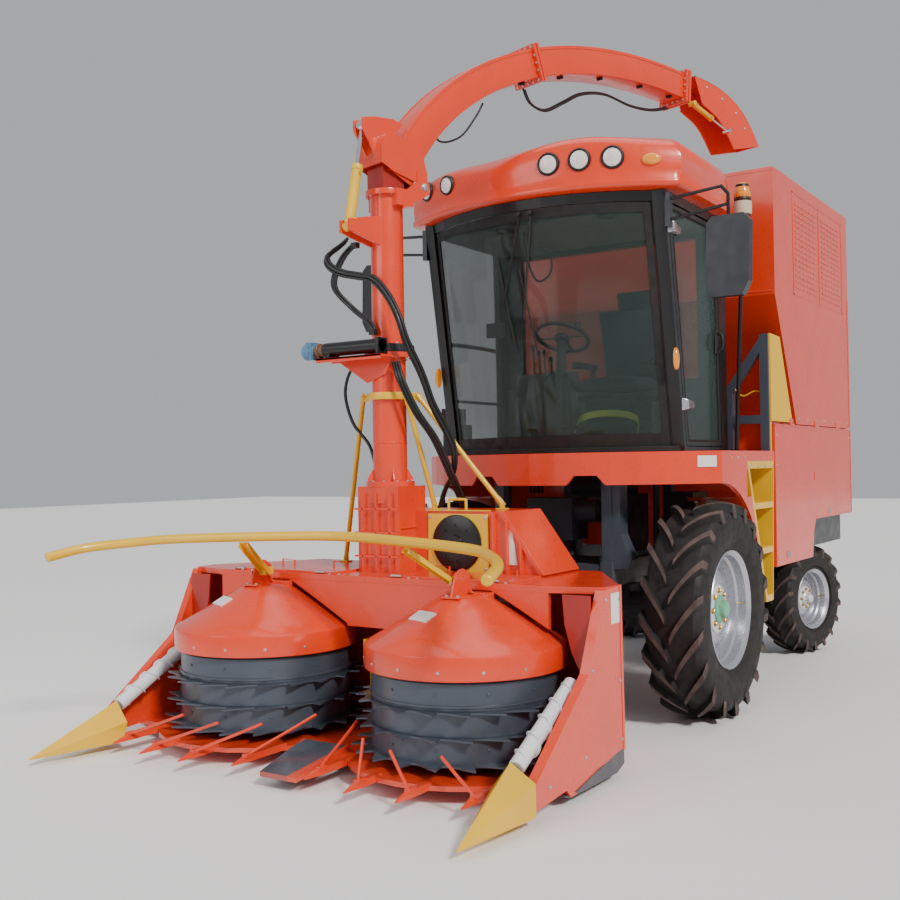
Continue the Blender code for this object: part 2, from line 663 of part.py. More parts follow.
DOOR_FRONT = CAB_FRONT + PILLAR * 0.6
DOOR_REAR = 0.535
DOOR_LOW = CAB_FLOOR + 0.035
DOOR_HIGH = CAB_TOP - 0.065
DOOR_RISE = 0.0065      # how much the leaf's top corner rises as it swings on its leaning hinge
FRAME_IN = 0.032        # the door's and windows' frame width


def cab():
    inner = CAB_HALF - 0.045
    sill = CAB_FLOOR + 0.03
    head = CAB_TOP - 0.06
    shell = prism(cab_outline(0), "Z", CAB_FLOOR, CAB_TOP - GAP)
    room = prism(cab_outline(0.045), "Z", sill, head)
    glass_reach = CAB_HALF - PILLAR - 0.012
    cuts = [
        room,
        box((-glass_reach, -1, sill), (glass_reach, CAB_FRONT + 0.08, head)),
        box((inner - 0.1, DOOR_FRONT - CLEAR, DOOR_LOW - CLEAR), (CAB_HALF + 0.1, DOOR_REAR + CLEAR, DOOR_HIGH + CLEAR)),
        box((-CAB_HALF - 0.1, DOOR_FRONT, DOOR_LOW), (-inner + 0.1, DOOR_REAR, DOOR_HIGH)),
        box((-0.70, CAB_REAR - 0.1, 2.20), (0.70, CAB_REAR + 0.1, DOOR_HIGH - 0.05)),
    ]
    node("cab_frame", "chassis", "black", leaning(shell), [leaning(cut) for cut in cuts])

    screen = bow(glass_reach - GAP, CAB_FRONT + 0.005, CAB_BULGE, 13)
    back = [(x, y + GLASS) for x, y in reversed(bow(glass_reach - GAP, CAB_FRONT + 0.005, CAB_BULGE, 13))]
    node("windscreen", "chassis", "glass", leaning(prism(screen + back, "Z", sill + GAP, head - GAP)), smooth=True)
    right = (-CAB_HALF + 0.008, -CAB_HALF + 0.008 + GLASS)
    node("right_window", "chassis", "glass",
         leaning(box((right[0], DOOR_FRONT + GAP, DOOR_LOW + GAP), (right[1], DOOR_REAR - GAP, DOOR_HIGH - GAP))))
    node("rear_window", "chassis", "glass",
         leaning(box((-0.70 + GAP, CAB_REAR - 0.03, 2.20 + GAP), (0.70 - GAP, CAB_REAR - 0.03 + GLASS, DOOR_HIGH - 0.05 - GAP))))

    hinge_x = CAB_HALF + 0.012
    body("cab_door", "chassis", (hinge_x, lean_at(DOOR_FRONT, CAB_FLOOR), CAB_FLOOR))
    leaf = box((inner + 0.012, DOOR_FRONT, DOOR_LOW), (CAB_HALF, DOOR_REAR, DOOR_HIGH - DOOR_RISE))
    light = box((inner - 0.1, DOOR_FRONT + FRAME_IN, DOOR_LOW + FRAME_IN), (CAB_HALF + 0.1, DOOR_REAR - FRAME_IN, DOOR_HIGH - FRAME_IN))
    node("cab_door", "cab_door", "black", leaning(leaf), [leaning(light)])
    edge = FRAME_IN + GAP
    node("cab_door_glass", "cab_door", "glass",
         leaning(box((CAB_HALF - 0.008 - GLASS, DOOR_FRONT + edge, DOOR_LOW + edge), (CAB_HALF - 0.008, DOOR_REAR - edge, DOOR_HIGH - edge))))


def roof_loop(inset, z, lift=0.0):
    """One level of the roof: bowed at the front, with rounded rear corners."""
    front = bow(ROOF_HALF - inset, CAB_FRONT - CAB_LEAN + 0.02 + inset, CAB_BULGE + 0.05, 13)
    rear_y = CAB_REAR - 0.02 - inset
    corner = 0.24 - inset * 0.4
    left = arc((ROOF_HALF - inset - corner, rear_y - corner), corner, 90, 0, 5)
    right = arc((-ROOF_HALF + inset + corner, rear_y - corner), corner, 180, 90, 5)
    loop = left + front + right
    return [(x, y, z + lift * max(0.0, 1 - (x / ROOF_HALF) ** 2)) for x, y in loop]


def roof():
    z = CAB_TOP
    loops = [roof_loop(0.07, z), roof_loop(0.0, z + 0.07), roof_loop(0.0, z + 0.20, 0.03),
             roof_loop(0.07, z + 0.30, 0.04), roof_loop(0.26, z + ROOF_HEIGHT - 0.04, 0.04)]
    node("cab_roof", "chassis", "orange", loft(loops), smooth=True)


SEAT_X = 0.26


def seat():
    """The operator's seat: base, cushion and backrest in one simple block."""
    x = SEAT_X
    side = [(0.10, CAB_FLOOR + 0.030 + GAP), (0.46, CAB_FLOOR + 0.030 + GAP), (0.46, 2.10), (0.585, 2.80), (0.49, 2.82),
            (0.34, 2.22), (-0.02, 2.22), (-0.02, 2.08), (0.10, 2.06)]
    node("seat", "chassis", "seat_cloth", prism(side, "X", x - 0.24, x + 0.24))


def steering_wheel():
    x = 0.02
    hub = Vector((x, -0.12, 2.47))
    axis = Vector((0, 0.45, 0.90)).normalized()
    pieces = [
        rod((x, -0.20, CAB_FLOOR + 0.030 + GAP), (x, -0.20, CAB_FLOOR + 0.10), 0.055, 10),
        rod((x, -0.20, CAB_FLOOR + 0.06), hub, 0.045, 10),
        turned([(0.165, -0.014), (0.190, -0.014), (0.190, 0.014), (0.165, 0.014)], hub, axis, 16),
        rod(hub - axis * 0.02, hub + axis * 0.012, 0.05, 10),
    ]
    side, up = axes_across(axis)
    for spoke in (side, -side, -up):
        pieces.append(bar(hub, hub + spoke * 0.178, 0.03, 0.012))
    node("steering_wheel", "chassis", "black", pieces, smooth=True)


MIRROR_X = 1.29
MIRROR_Y = -0.42


def mirrors():
    """A door mirror each side, on a double tube that leaves the head of the windscreen pillar."""
    for name, side in (("left", 1), ("right", -1)):
        root_y = lean_at(CAB_FRONT, 3.20) + 0.02
        pad = side * (CAB_HALF + GAP)
        start = side * (CAB_HALF + 0.012)
        x = side * MIRROR_X
        head = prism(
            [(x + a, 2.83 + b) for a, b in ((-0.135, -0.17), (-0.10, -0.24), (0.085, -0.24), (0.125, -0.16), (0.135, 0.20),
                                            (0.10, 0.24), (-0.09, 0.24), (-0.125, 0.20))],
            "Y", MIRROR_Y - 0.035, MIRROR_Y + 0.035)
        pieces = [
            head,
            sweep([(start, root_y, 3.23), (x - side * 0.04, MIRROR_Y, 3.25), (x, MIRROR_Y, 3.20), (x, MIRROR_Y, 2.95)], 0.011),
            sweep([(start, root_y, 3.10), (x, MIRROR_Y, 3.14)], 0.010),
            box((min(pad, pad + side * 0.035), root_y - 0.02, 3.06), (max(pad, pad + side * 0.035), root_y + 0.02, 3.27)),
        ]
        node("mirror_" + name, "chassis", "black", pieces)


def beacon():
    """The hazard beacon on its pole, behind the door."""
    foot = (0.935, CAB_REAR + 0.03, PLATFORM_TOP + GAP)
    head = (1.01, CAB_REAR + 0.03, 3.30)
    node("beacon", "chassis", "black", [
        box((foot[0] - 0.03, foot[1] - 0.03, foot[2]), (foot[0] + 0.03, foot[1] + 0.03, foot[2] + 0.012)),
        rod((foot[0], foot[1], foot[2] + 0.008), head, 0.014, 10),
        turned([(0, 0), (0.050, 0), (0.058, 0.02), (0.058, 0.12), (0.045, 0.22), (0, 0.24)], head, (0, 0, 1), 16),
    ], smooth=True)


# ---------------------------------------------------------------- header
def header_x(side, offset):
    """An X place on the header: offset from its middle, towards the machine's left or right."""
    return HEADER_X + side * offset


SIDE_PANEL = [(-2.447, 0.071), (-1.498, 0.137), (-1.516, DECK_TOP), (-1.714, DECK_TOP - 0.012), (-1.902, 0.589),
              (-2.447, 0.190)]
LIFT_BARREL = 0.045
LIFT_BASE = (HEADER_X, -0.24, 0.70)
LIFT_EYE = (HEADER_X, -0.80, 0.88)
LIDS = {"left": (0.13, 0.93), "right": (0.28, 1.08)}     # the deck lids' edges, from the header's middle
LID_REAR = -1.40
BACK_HALF = 1.20                # the header's rear wall: its straight middle, then its corners turn in
BACK_Y = -1.185
THROAT = (0.28, 0.38, 0.80)     # the feed opening's half width, foot and head


def cone_clearance(x):
    """The space that a drum cover's cone needs through the apron."""
    gap = 0.02
    profile = [(0, 0.50), (COVER_RADIUS + gap, 0.50), (COVER_RADIUS + gap, COVER_BOTTOM + COVER_BAND + gap),
               (0.12 + gap, COVER_TOP + gap), (0, COVER_TOP + gap)]
    return turned(profile, (x, DRUM_Y, 0), (0, 0, 1), 32)


def header_frame():
    """The header's frame: side panels, deck, apron, back wall, floor, fingers and the lift arms."""
    deck = [header for side in (1, -1) for header in (
        [(header_x(1, HEADER_HALF - 0.01), DECK_FRONT + 0.07), (header_x(1, HEADER_HALF - 0.01), -1.52),
         (header_x(1, 1.05), DECK_REAR)] if side > 0 else
        [(header_x(-1, 1.05), DECK_REAR), (header_x(-1, HEADER_HALF - 0.01), -1.52),
         (header_x(-1, HEADER_HALF - 0.01), DECK_FRONT + 0.07)])]
    deck += [(header_x(-1, 1.16), DECK_FRONT), (header_x(1, 1.16), DECK_FRONT)]
    inside = HEADER_HALF - HEADER_WALL
    pieces = [prism(deck, "Z", DECK_TOP - DECK_THICKNESS, DECK_TOP)]
    for side in (1, -1):
        low, high = sorted((header_x(side, inside), header_x(side, HEADER_HALF)))
        pieces.append(prism(SIDE_PANEL, "X", low, high))
        skid = [(-2.15, 0.10), (-1.53, 0.14), (-1.53, 0.075), (-1.70, 0.040), (-2.10, 0.045)]
        low, high = sorted((header_x(side, inside - 0.03), header_x(side, HEADER_HALF - 0.006)))
        pieces.append(prism(skid, "X", low, high))
    wide = inside + 0.01
    floor_z = (FLOOR_TOP - FLOOR_THICKNESS, FLOOR_TOP)
    back = [(-wide, -1.51), (-BACK_HALF, BACK_Y), (BACK_HALF, BACK_Y), (wide, -1.51)]
    wall = [(header_x(1, a), b) for a, b in back] + [(header_x(1, a * 0.985), b - SHEET) for a, b in reversed(back)]
    floor = [(header_x(1, a), b) for a, b in back] + [(header_x(1, wide), -2.20), (header_x(-1, wide), -2.20)]
    pieces += [
        box((header_x(-1, 1.16), DECK_FRONT, 0.70), (header_x(1, 1.16), DECK_FRONT + SHEET, DECK_TOP - 0.005)),
        prism(wall, "Z", 0.09, DECK_TOP - 0.005),
        prism(floor, "Z", *floor_z),
        box((header_x(-1, 1.05), -1.19, 0.14), (header_x(1, 1.05), -0.95, 0.36)),
        box((header_x(-1, 1.05), DECK_REAR - 0.06, 0.34), (header_x(1, 1.05), DECK_REAR, DECK_TOP - 0.005)),
    ]
    for side in (1, -1):
        x = header_x(side, DRUM_SPACING / 2)
        pieces.append(turned([(0, floor_z[0]), (0.635, floor_z[0]), (0.635, floor_z[1]), (0.08, floor_z[1]),
                              (0.08, DRUM_BOTTOM - CLEAR), (0, DRUM_BOTTOM - CLEAR)], (x, DRUM_Y, 0), (0, 0, 1), 32))
        pieces += [finger(x, offset, reach) for offset, reach in ((-0.46, 0.77), (-0.15, 0.85), (0.15, 0.85), (0.46, 0.77))]
        arm_x = header_x(side, ARM_SPACING / 2)
        arm = [(DECK_REAR - 0.03, 0.66), (DECK_REAR - 0.03, 0.96), (-0.55, 1.10), (HEADER_PIVOT_Y, 1.10)]
        arm += arc((HEADER_PIVOT_Y, HEADER_PIVOT_Z), 0.05, 80, -80, 6)
        arm += [(HEADER_PIVOT_Y, 1.00), (-0.50, 1.00), (-0.70, 0.78)]
        pieces.append(prism(arm, "X", arm_x - ARM_WIDTH / 2, arm_x + ARM_WIDTH / 2))
        low, high = sorted((header_x(side, LIFT_BARREL + CLEAR), header_x(side, LIFT_BARREL + CLEAR + 0.015)))
        pieces.append(prism([(DECK_REAR - 0.03, LIFT_EYE[2] - 0.12), (DECK_REAR - 0.03, LIFT_EYE[2] + 0.06),
                             (LIFT_EYE[1] + 0.05, LIFT_EYE[2] + 0.05), (LIFT_EYE[1] + 0.05, LIFT_EYE[2] - 0.05)], "X", low, high))
    pieces.append(loft([[(-0.56, -2.15, 0.085), (-0.24, -2.15, 0.085), (-0.24, -2.15, 0.135), (-0.56, -2.15, 0.135)],
                        [(-0.44, -2.62, 0.060), (-0.20, -2.62, 0.060), (-0.20, -2.62, 0.085), (-0.44, -2.62, 0.085)]]))
    cuts = [cone_clearance(header_x(side, DRUM_SPACING / 2)) for side in (1, -1)]
    cuts.append(box((header_x(-1, THROAT[0]), -1.30, THROAT[1]), (header_x(1, THROAT[0]), -1.10, THROAT[2])))
    for side, name in ((1, "left"), (-1, "right")):
        low, high = sorted((header_x(side, LIDS[name][0] + 0.03), header_x(side, LIDS[name][1] - 0.03)))
        cuts.append(box((low, DECK_FRONT + 0.06, DECK_TOP - 0.1), (high, LID_REAR - 0.03, DECK_TOP + 0.1)))
    node("header_frame", "header", "orange", pieces, cuts)


def finger(drum_x, offset, reach):
    """A crop finger: a spike that lies ahead of a drum, with the thin deflector rod above it."""
    root = DRUM_Y - math.sqrt(0.635**2 - (abs(offset) + 0.03) ** 2) + 0.04
    tip = DRUM_Y - reach
    x = drum_x + offset
    section = ((-0.022, -0.004), (0.022, -0.004), (0.016, 0.030), (-0.016, 0.030))
    spike = loft([
        [(x + a, root, 0.084 + b) for a, b in section],
        [(x + a, tip + 0.12, 0.084 + b) for a, b in section],
        [(x + a * 0.15, tip, 0.080 + b * 0.2) for a, b in section],
    ])
    return spike


def deck_lids():
    for side, name in ((1, "left"), (-1, "right")):
        low, high = sorted(header_x(side, edge) for edge in LIDS[name])
        body("deck_lid_" + name, "header", ((low + high) / 2, DECK_FRONT + 0.03, DECK_TOP + 0.012))
        node("deck_lid_" + name, "deck_lid_" + name, "orange",
             box((low, DECK_FRONT + 0.03, DECK_TOP + GAP), (high, LID_REAR, DECK_TOP + 0.012)))


def drum_covers():
    for side, name in ((1, "left"), (-1, "right")):
        x = header_x(side, DRUM_SPACING / 2)
        cone = turned([(0, COVER_BOTTOM), (COVER_RADIUS, COVER_BOTTOM), (COVER_RADIUS, COVER_BOTTOM + COVER_BAND),
                       (0.12, COVER_TOP), (0, COVER_TOP)], (x, DRUM_Y, 0), (0, 0, 1), 32)
        arm = box((x - 0.13, DRUM_Y, COVER_TOP - 0.16), (x + 0.13, DECK_FRONT - GAP, COVER_TOP + 0.015))
        fan = prism([(DRUM_Y - 0.13, COVER_TOP - 0.02), (DRUM_Y + 0.05, COVER_TOP - 0.02), (DRUM_Y + 0.05, 1.02),
                     (DRUM_Y - 0.02, 1.075), (DRUM_Y - 0.09, 1.05)], "X", x - 0.006, x + 0.006)
        foot = box((x - 0.04, DRUM_Y - 0.14, COVER_TOP - 0.02), (x + 0.04, DRUM_Y + 0.06, COVER_TOP + 0.006))
        # The rear of the band stops short of the header's back wall.
        node("drum_cover_" + name, "header", "orange", [cone, arm, fan, foot], smooth=True)


def toothed(x, z, thickness, tip, valley, teeth):
    """A flat ring of pointed teeth round a drum."""
    outline = []
    for i in range(teeth):
        a = 2 * math.pi * i / teeth
        b = 2 * math.pi * (i + 0.5) / teeth
        outline.append((x + tip * math.cos(a), DRUM_Y + tip * math.sin(a)))
        outline.append((x + valley * math.cos(b), DRUM_Y + valley * math.sin(b)))
    return prism(outline, "Z", z, z + thickness)


def drums():
    for side, name in ((1, "left"), (-1, "right")):
        x = header_x(side, DRUM_SPACING / 2)
        body("drum_" + name, "header", (x, DRUM_Y, DRUM_BOTTOM))
        barrel = turned([(0, DRUM_BOTTOM), (DRUM_RADIUS, DRUM_BOTTOM), (DRUM_RADIUS, COVER_BOTTOM - CLEAR),
                         (0, COVER_BOTTOM - CLEAR)], (x, DRUM_Y, 0), (0, 0, 1), 32)
        rings = [toothed(x, 0.415, 0.008, DRUM_TOOTH_RADIUS, DRUM_RADIUS - 0.01, 18),
                 toothed(x, 0.290, 0.008, DRUM_TOOTH_RADIUS, DRUM_RADIUS - 0.01, 18),
                 toothed(x, DRUM_BOTTOM + 0.015, 0.010, DISC_RADIUS, DRUM_RADIUS + 0.03, 18)]
        node("drum_" + name, "drum_" + name, "drum_grey", [barrel] + rings, smooth=True)


ROLLER_HEAD = (1.345, -1.86, 0.53)      # X from the header's middle, then Y and Z
ROLLER_FOOT = (1.345, -2.42, 0.245)


def rollers():
    """The spiral side rollers, and the yellow dividers that close the header's two front corners."""
    for side, name in ((1, "left"), (-1, "right")):
        head = Vector((header_x(side, ROLLER_HEAD[0]), ROLLER_HEAD[1], ROLLER_HEAD[2]))
        foot = Vector((header_x(side, ROLLER_FOOT[0]), ROLLER_FOOT[1], ROLLER_FOOT[2]))
        body("roller_" + name, "header", head)
        node("roller_" + name, "roller_" + name, "white", rod(head, foot, 0.045, 16), smooth=True)
        rear = [(1.46, 0.045), (1.46, 0.196), (1.33, 0.275), (1.24, 0.16), (1.26, 0.045)]
        tip = (1.395, -2.99, 0.045)
        sections = []
        for share in (0.0, 1.0):
            y = -2.4475 + (tip[1] + 2.4475) * share
            size = 1 - 0.955 * share
            middle = tip[0] - 1.395
            sections.append([
                (header_x(side, 1.395 + middle + (a - 1.395) * size), y, 0.045 + (z - 0.045) * size) for a, z in rear
            ])
        node("divider_" + name, "header", "yellow", loft(sections))


GUIDE_BAR = [(0.0, -2.05, 1.24), (1.01, -2.28, 1.215), (1.385, -2.62, 1.175), (1.45, -2.82, 1.135)]


def guide_bar():
    """The crop guide bar over the drums, on two brackets that reach the covers' fan plates."""
    left = [(header_x(1, x), y, z) for x, y, z in GUIDE_BAR]
    right = [(header_x(-1, x), y, z) for x, y, z in reversed(GUIDE_BAR[1:])]
    pieces = [sweep(right + left, 0.0275, 10)]
    for side in (1, -1):
        x = header_x(side, DRUM_SPACING / 2)
        edge = x - side * (0.006 + GAP)
        start = Vector((header_x(side, 0.57), -2.165, 1.222))
        end = Vector((edge - side * 0.030, DRUM_Y - 0.03, 1.005))
        pieces.append(bar(start, end, 0.055, 0.035))
        low, high = sorted((edge, edge - side * 0.05))
        pieces.append(box((low, DRUM_Y - 0.06, 0.985), (high, DRUM_Y + 0.0, 1.03)))
    node("guide_bar", "header", "yellow", pieces, smooth=True)


# ---------------------------------------------------------------- chopper, column and spout
HOUSING_FRONT = LID_REAR + 0.05
HOUSING_REAR = DECK_REAR - 0.02
HOUSING_TOP = 1.35


def chopper_and_column():
    """The chopper housing on the deck's rear, with the ribbed box and the fixed lower column on it."""
    x, y = COLUMN_X, COLUMN_Y
    bore = COLUMN_RADIUS - COLUMN_WALL
    outline = [(-0.66, DECK_TOP + GAP), (-0.66, HOUSING_TOP), (0.26, HOUSING_TOP), (0.515, DECK_TOP + GAP)]
    flange = COLUMN_FOOT + 0.028
    node("chopper_housing", "header", "orange", [
        prism(outline, "Y", HOUSING_FRONT, HOUSING_REAR),
        box((x - 0.15, y - 0.13, DECK_TOP + GAP), (x + 0.15, y + 0.15, COLUMN_FOOT)),
        turned([(0, COLUMN_FOOT - 0.1), (0.145, COLUMN_FOOT - 0.1), (0.145, flange), (COLUMN_RADIUS, flange),
                (COLUMN_RADIUS, SLEW_Z - 0.03), (0.150, SLEW_Z - 0.03), (0.150, SLEW_Z), (0, SLEW_Z)], (x, y, 0), (0, 0, 1)),
        box((x - 0.36, y - 0.10, SLEW_Z - 0.045), (x - COLUMN_RADIUS + 0.02, y + 0.10, SLEW_Z - 0.020)),
    ], [rod((x, y, 1.20), (x, y, SLEW_Z + 0.1), bore, ROUND)], smooth=True)


def slewing_and_struts():
    """The worm drive that turns the upper column, and the three struts that steady the lower one."""
    x, y = COLUMN_X, COLUMN_Y
    worm_z = SLEW_Z - 0.020 + GAP
    node("slew_drive", "header", "black", [
        box((x - 0.30, y - 0.235, worm_z - 0.02), (x + 0.06, y - 0.170, worm_z + 0.09)),
        box((x - 0.34, y - 0.235, worm_z - 0.02), (x - 0.24, y - 0.101 - 0.004, worm_z + 0.09)),
        rod((x - 0.40, y - 0.19, worm_z + 0.045), (x - 0.29, y - 0.19, worm_z + 0.045), 0.045, 16),
    ], [box((x - 0.37, y - 0.101, 0), (x, y + 0.2, worm_z - GAP))])
    collar_z = 2.02
    ring = pipe((x, y, collar_z), (x, y, collar_z + 0.04), COLUMN_RADIUS + 0.022, COLUMN_RADIUS + GAP)
    pieces = [ring]
    feet = (((-0.69, -1.40, 2.05), (-1.15, -1.02, DECK_TOP)), ((-0.345, -1.43, 2.03), (-0.31, -1.20, HOUSING_TOP)),
            ((-0.36, -1.30, 2.05), (0.11, -1.10, HOUSING_TOP)))
    for top, foot in feet:
        side = Vector((top[0] - x, top[1] - y, 0)).normalized() * (COLUMN_RADIUS + 0.012)
        pieces += [
            bar((x + side.x, y + side.y, 2.04), (top[0], top[1], 2.04), 0.03, 0.035),
            rod(top, (foot[0], foot[1], foot[2] + 0.02), 0.016, 10),
            rod((foot[0], foot[1], foot[2] + GAP), (foot[0], foot[1], foot[2] + 0.05), 0.03, 10),
        ]
    node("column_struts", "header", "yellow", pieces, smooth=True)


def along_spout(s, z, across=0.0):
    """A point in the spout's upright plane: distance from the column's axis, height, and sideways."""
    sin, cos = math.sin(SPOUT_HEADING), math.cos(SPOUT_HEADING)
    return Vector((COLUMN_X + s * sin + across * cos, COLUMN_Y + s * cos - across * sin, z))


SPOUT_PIVOT = (0.185, 3.312)            # (distance from the column's axis, height)
SPOUT_TILT_MOST = math.radians(25)
TILT_BASE = (-0.28, 3.04)
TILT_EYE = (-0.17, 3.66)
DUCT_CURVE = ((0.03, 3.33), (0.35, 4.15), (1.55, 4.62), (2.90, 4.50))
FLANGE_AT = (0.545, 1.0)                # shares of the duct's curve
FLAP_PIVOT = (2.935, 4.602)
FLAP_BASE = (2.86, 4.365)
FLAP_EYE = (3.30, 4.235)


def duct_point(t):
    """A point of the duct's centre line and its unit direction (a cubic Bezier curve)."""
    a, b, c, d = (Vector(point) for point in DUCT_CURVE)
    u = 1 - t
    point = a * u**3 + b * 3 * u * u * t + c * 3 * u * t * t + d * t**3
    slope = (b - a) * 3 * u * u + (c - b) * 6 * u * t + (d - c) * 3 * t * t
    return point, slope.normalized()


def duct_section(t, half_width, half_height):
    point, direction = duct_point(t)
    up = Vector((-direction.y, direction.x))
    low, high = point - up * half_height, point + up * half_height
    return [along_spout(low.x, low.y, -half_width), along_spout(low.x, low.y, half_width),
            along_spout(high.x, high.y, half_width), along_spout(high.x, high.y, -half_width)]


def plate(outline, inner, outer):
    """An outline of (distance, height) points in the spout's plane, with its sideways extent."""
    return loft([[along_spout(s, z, across) for s, z in outline] for across in (inner, outer)])


def turret():
    """The turning upper column: slewing ring, tube, and the ears for the spout and its cylinder."""
    x, y = COLUMN_X, COLUMN_Y
    bore = COLUMN_RADIUS - COLUMN_WALL
    low = SLEW_Z + GAP
    outer = COLUMN_RADIUS - 0.004
    body("turret", "header", (x, y, SLEW_Z))
    pieces = [turned([(bore, low), (0.150, low), (0.150, low + 0.05), (outer, low + 0.05), (outer, COLUMN_HEAD - 0.03),
                      (0.125, COLUMN_HEAD - 0.03), (0.125, COLUMN_HEAD), (bore, COLUMN_HEAD)], (x, y, 0), (0, 0, 1))]
    for side in (-1, 1):
        width = sorted((side * (DUCT_WIDTH / 2 + 0.020 + CLEAR), side * (DUCT_WIDTH / 2 + 0.035 + CLEAR)))
        s, z = SPOUT_PIVOT
        pieces.append(plate([(0.02, COLUMN_HEAD - 0.12), (0.02, COLUMN_HEAD - 0.02), (s - 0.04, z + 0.035), (s + 0.04, z + 0.03),
                             (s + 0.04, z - 0.04)], *width))
        pieces.append(plate([(-0.03, COLUMN_HEAD - 0.10), (-0.03, COLUMN_HEAD), (0.10, COLUMN_HEAD), (0.10, COLUMN_HEAD - 0.10)],
                            *sorted((side * 0.07, side * (DUCT_WIDTH / 2 + 0.034 + CLEAR)))))
        width = sorted((side * (0.030 + CLEAR), side * (0.045 + CLEAR)))
        s, z = TILT_BASE
        pieces.append(plate([(-outer + 0.015, z - 0.10), (s - 0.035, z - 0.035), (s - 0.035, z + 0.035), (-outer + 0.015, z + 0.08)],
                            *width))
    node("upper_column", "turret", "orange", pieces, smooth=True)


def spout():
    """The discharge spout: a hollow duct with its base hood, joint flanges and tilting lever."""
    body("spout", "turret", along_spout(*SPOUT_PIVOT))
    half_w, half_h = DUCT_WIDTH / 2, DUCT_HEIGHT / 2
    steps = 14
    outer = [duct_section(i / steps, half_w, half_h) for i in range(steps + 1)]
    inner = [duct_section(-0.02 + 1.05 * i / steps, half_w - DUCT_WALL, half_h - DUCT_WALL) for i in range(steps + 1)]
    hood = [(-0.115, 3.405), (0.215, 3.325), (0.235, 3.40), (0.20, 3.52), (-0.02, 3.62), (-0.115, 3.52)]
    room = [(-0.103, 3.38), (0.203, 3.30), (0.219, 3.40), (0.188, 3.50), (-0.02, 3.60), (-0.103, 3.50)]
    pieces = [loft(outer), plate(hood, -half_w - 0.012, half_w + 0.012)]
    for t in FLANGE_AT:
        thick = 0.0035
        pieces.append(loft([duct_section(t - thick, half_w + 0.03, half_h + 0.03),
                            duct_section(min(t + thick, 1.0), half_w + 0.03, half_h + 0.03)]))
    s, z = SPOUT_PIVOT
    for side in (-1, 1):
        width = sorted((side * (half_w + 0.004), side * (half_w + 0.020)))
        pieces.append(plate([(s - 0.035, z + 0.10), (s - 0.035, z - 0.03), (s + 0.035, z - 0.03), (s + 0.045, z + 0.10)], *width))
        width = sorted((side * (0.030 + CLEAR), side * (0.045 + CLEAR)))
        s_eye, z_eye = TILT_EYE
        pieces.append(plate([(s_eye - 0.035, z_eye + 0.03), (s_eye - 0.035, z_eye - 0.03), (-0.10, 3.46), (-0.02, 3.58),
                             (0.10, 3.70)], *width))
    # An ear for the flap cylinder, on the left side of the last flange.
    s, z = FLAP_BASE
    pieces.append(plate([(s - 0.03, z + 0.06), (s - 0.03, z - 0.02), (s + 0.03, z - 0.02), (s + 0.045, z + 0.06)],
                        half_w - 0.006, half_w + 0.010))
    # The base's underside is cut on a slant, so that it clears the column's head when the spout is tilted right up.
    s, z = SPOUT_PIVOT
    sin, cos = math.sin(SPOUT_TILT_MOST), math.cos(SPOUT_TILT_MOST)
    slant = [(at, z + (COLUMN_HEAD + CLEAR - z - (at - s) * sin) / cos) for at in (COLUMN_RADIUS + 0.03, -0.30)]
    under = plate([(-0.30, COLUMN_HEAD - 0.10), (COLUMN_RADIUS + 0.03, COLUMN_HEAD - 0.10), *slant], -half_w - 0.05, half_w + 0.05)
    node("spout_duct", "spout", "orange", pieces, [loft(inner), plate(room, -half_w + 0.004, half_w - 0.004), under])
    flap()


def flap():
    """The deflector at the spout's end: a downward channel, hinged at its top edge."""
    body("flap", "spout", along_spout(*FLAP_PIVOT))
    half = DUCT_WIDTH / 2 + 0.006
    top = [(2.945, 4.612), (3.25, 4.585), (3.50, 4.50), (3.68, 4.36), (3.79, 4.215)]
    low = [(3.44, 4.13), (3.30, 4.29), (3.13, 4.38), (3.04, 4.41)]
    shell = plate(top + low, -half, half)
    room_top = [(2.90, 4.590), (3.245, 4.571), (3.485, 4.490), (3.665, 4.351), (3.85, 4.14)]
    room = plate(room_top + [(3.40, 3.95), (2.90, 4.30)], -half + DUCT_WALL, half - DUCT_WALL)
    node("spout_flap", "flap", "orange", [shell], [room])


def cylinder(name, on, parent, base, eye, across, barrel_radius, rod_radius, barrel_share, frame):
    """A hydraulic cylinder: a barrel on its base pin, and a rod that slides in it to its eye."""
    start, end = frame(base, across), frame(eye, across)
    direction = (end - start).normalized()
    split = start + (end - start) * barrel_share
    pin = frame(base, across + 0.028) - frame(base, across - 0.028)
    body(name + "_barrel", parent, start)
    body(name + "_rod", name + "_barrel", end)
    eye_radius = barrel_radius * 0.95
    depth = eye_radius * 1.3
    hollow = rod(start + direction * depth, split + direction * 0.05, rod_radius + 0.0012, 16)
    node(name + "_barrel", name + "_barrel", on, [
        rod(start + direction * eye_radius * 0.5, split, barrel_radius, 16),
        rod(start - pin * 0.5, start + pin * 0.5, eye_radius, 12),
    ], [hollow], smooth=True)
    node(name + "_rod", name + "_rod", "chrome", [
        rod(start + direction * (depth + ROD_RETRACTS[name] + 0.004), end - direction * eye_radius * 0.5, rod_radius, 16),
        rod(end - pin * 0.5, end + pin * 0.5, eye_radius, 12),
    ], smooth=True)


# How far each rod can still go into its barrel from where it stands.
ROD_RETRACTS = {"tilt_cylinder": 0.193, "lift_cylinder": 0.045, "flap_cylinder": 0.142}


def in_spout_plane(point, across):
    return along_spout(point[0], point[1], across)


def in_header_plane(point, across):
    return Vector((HEADER_X + across, point[0], point[1]))


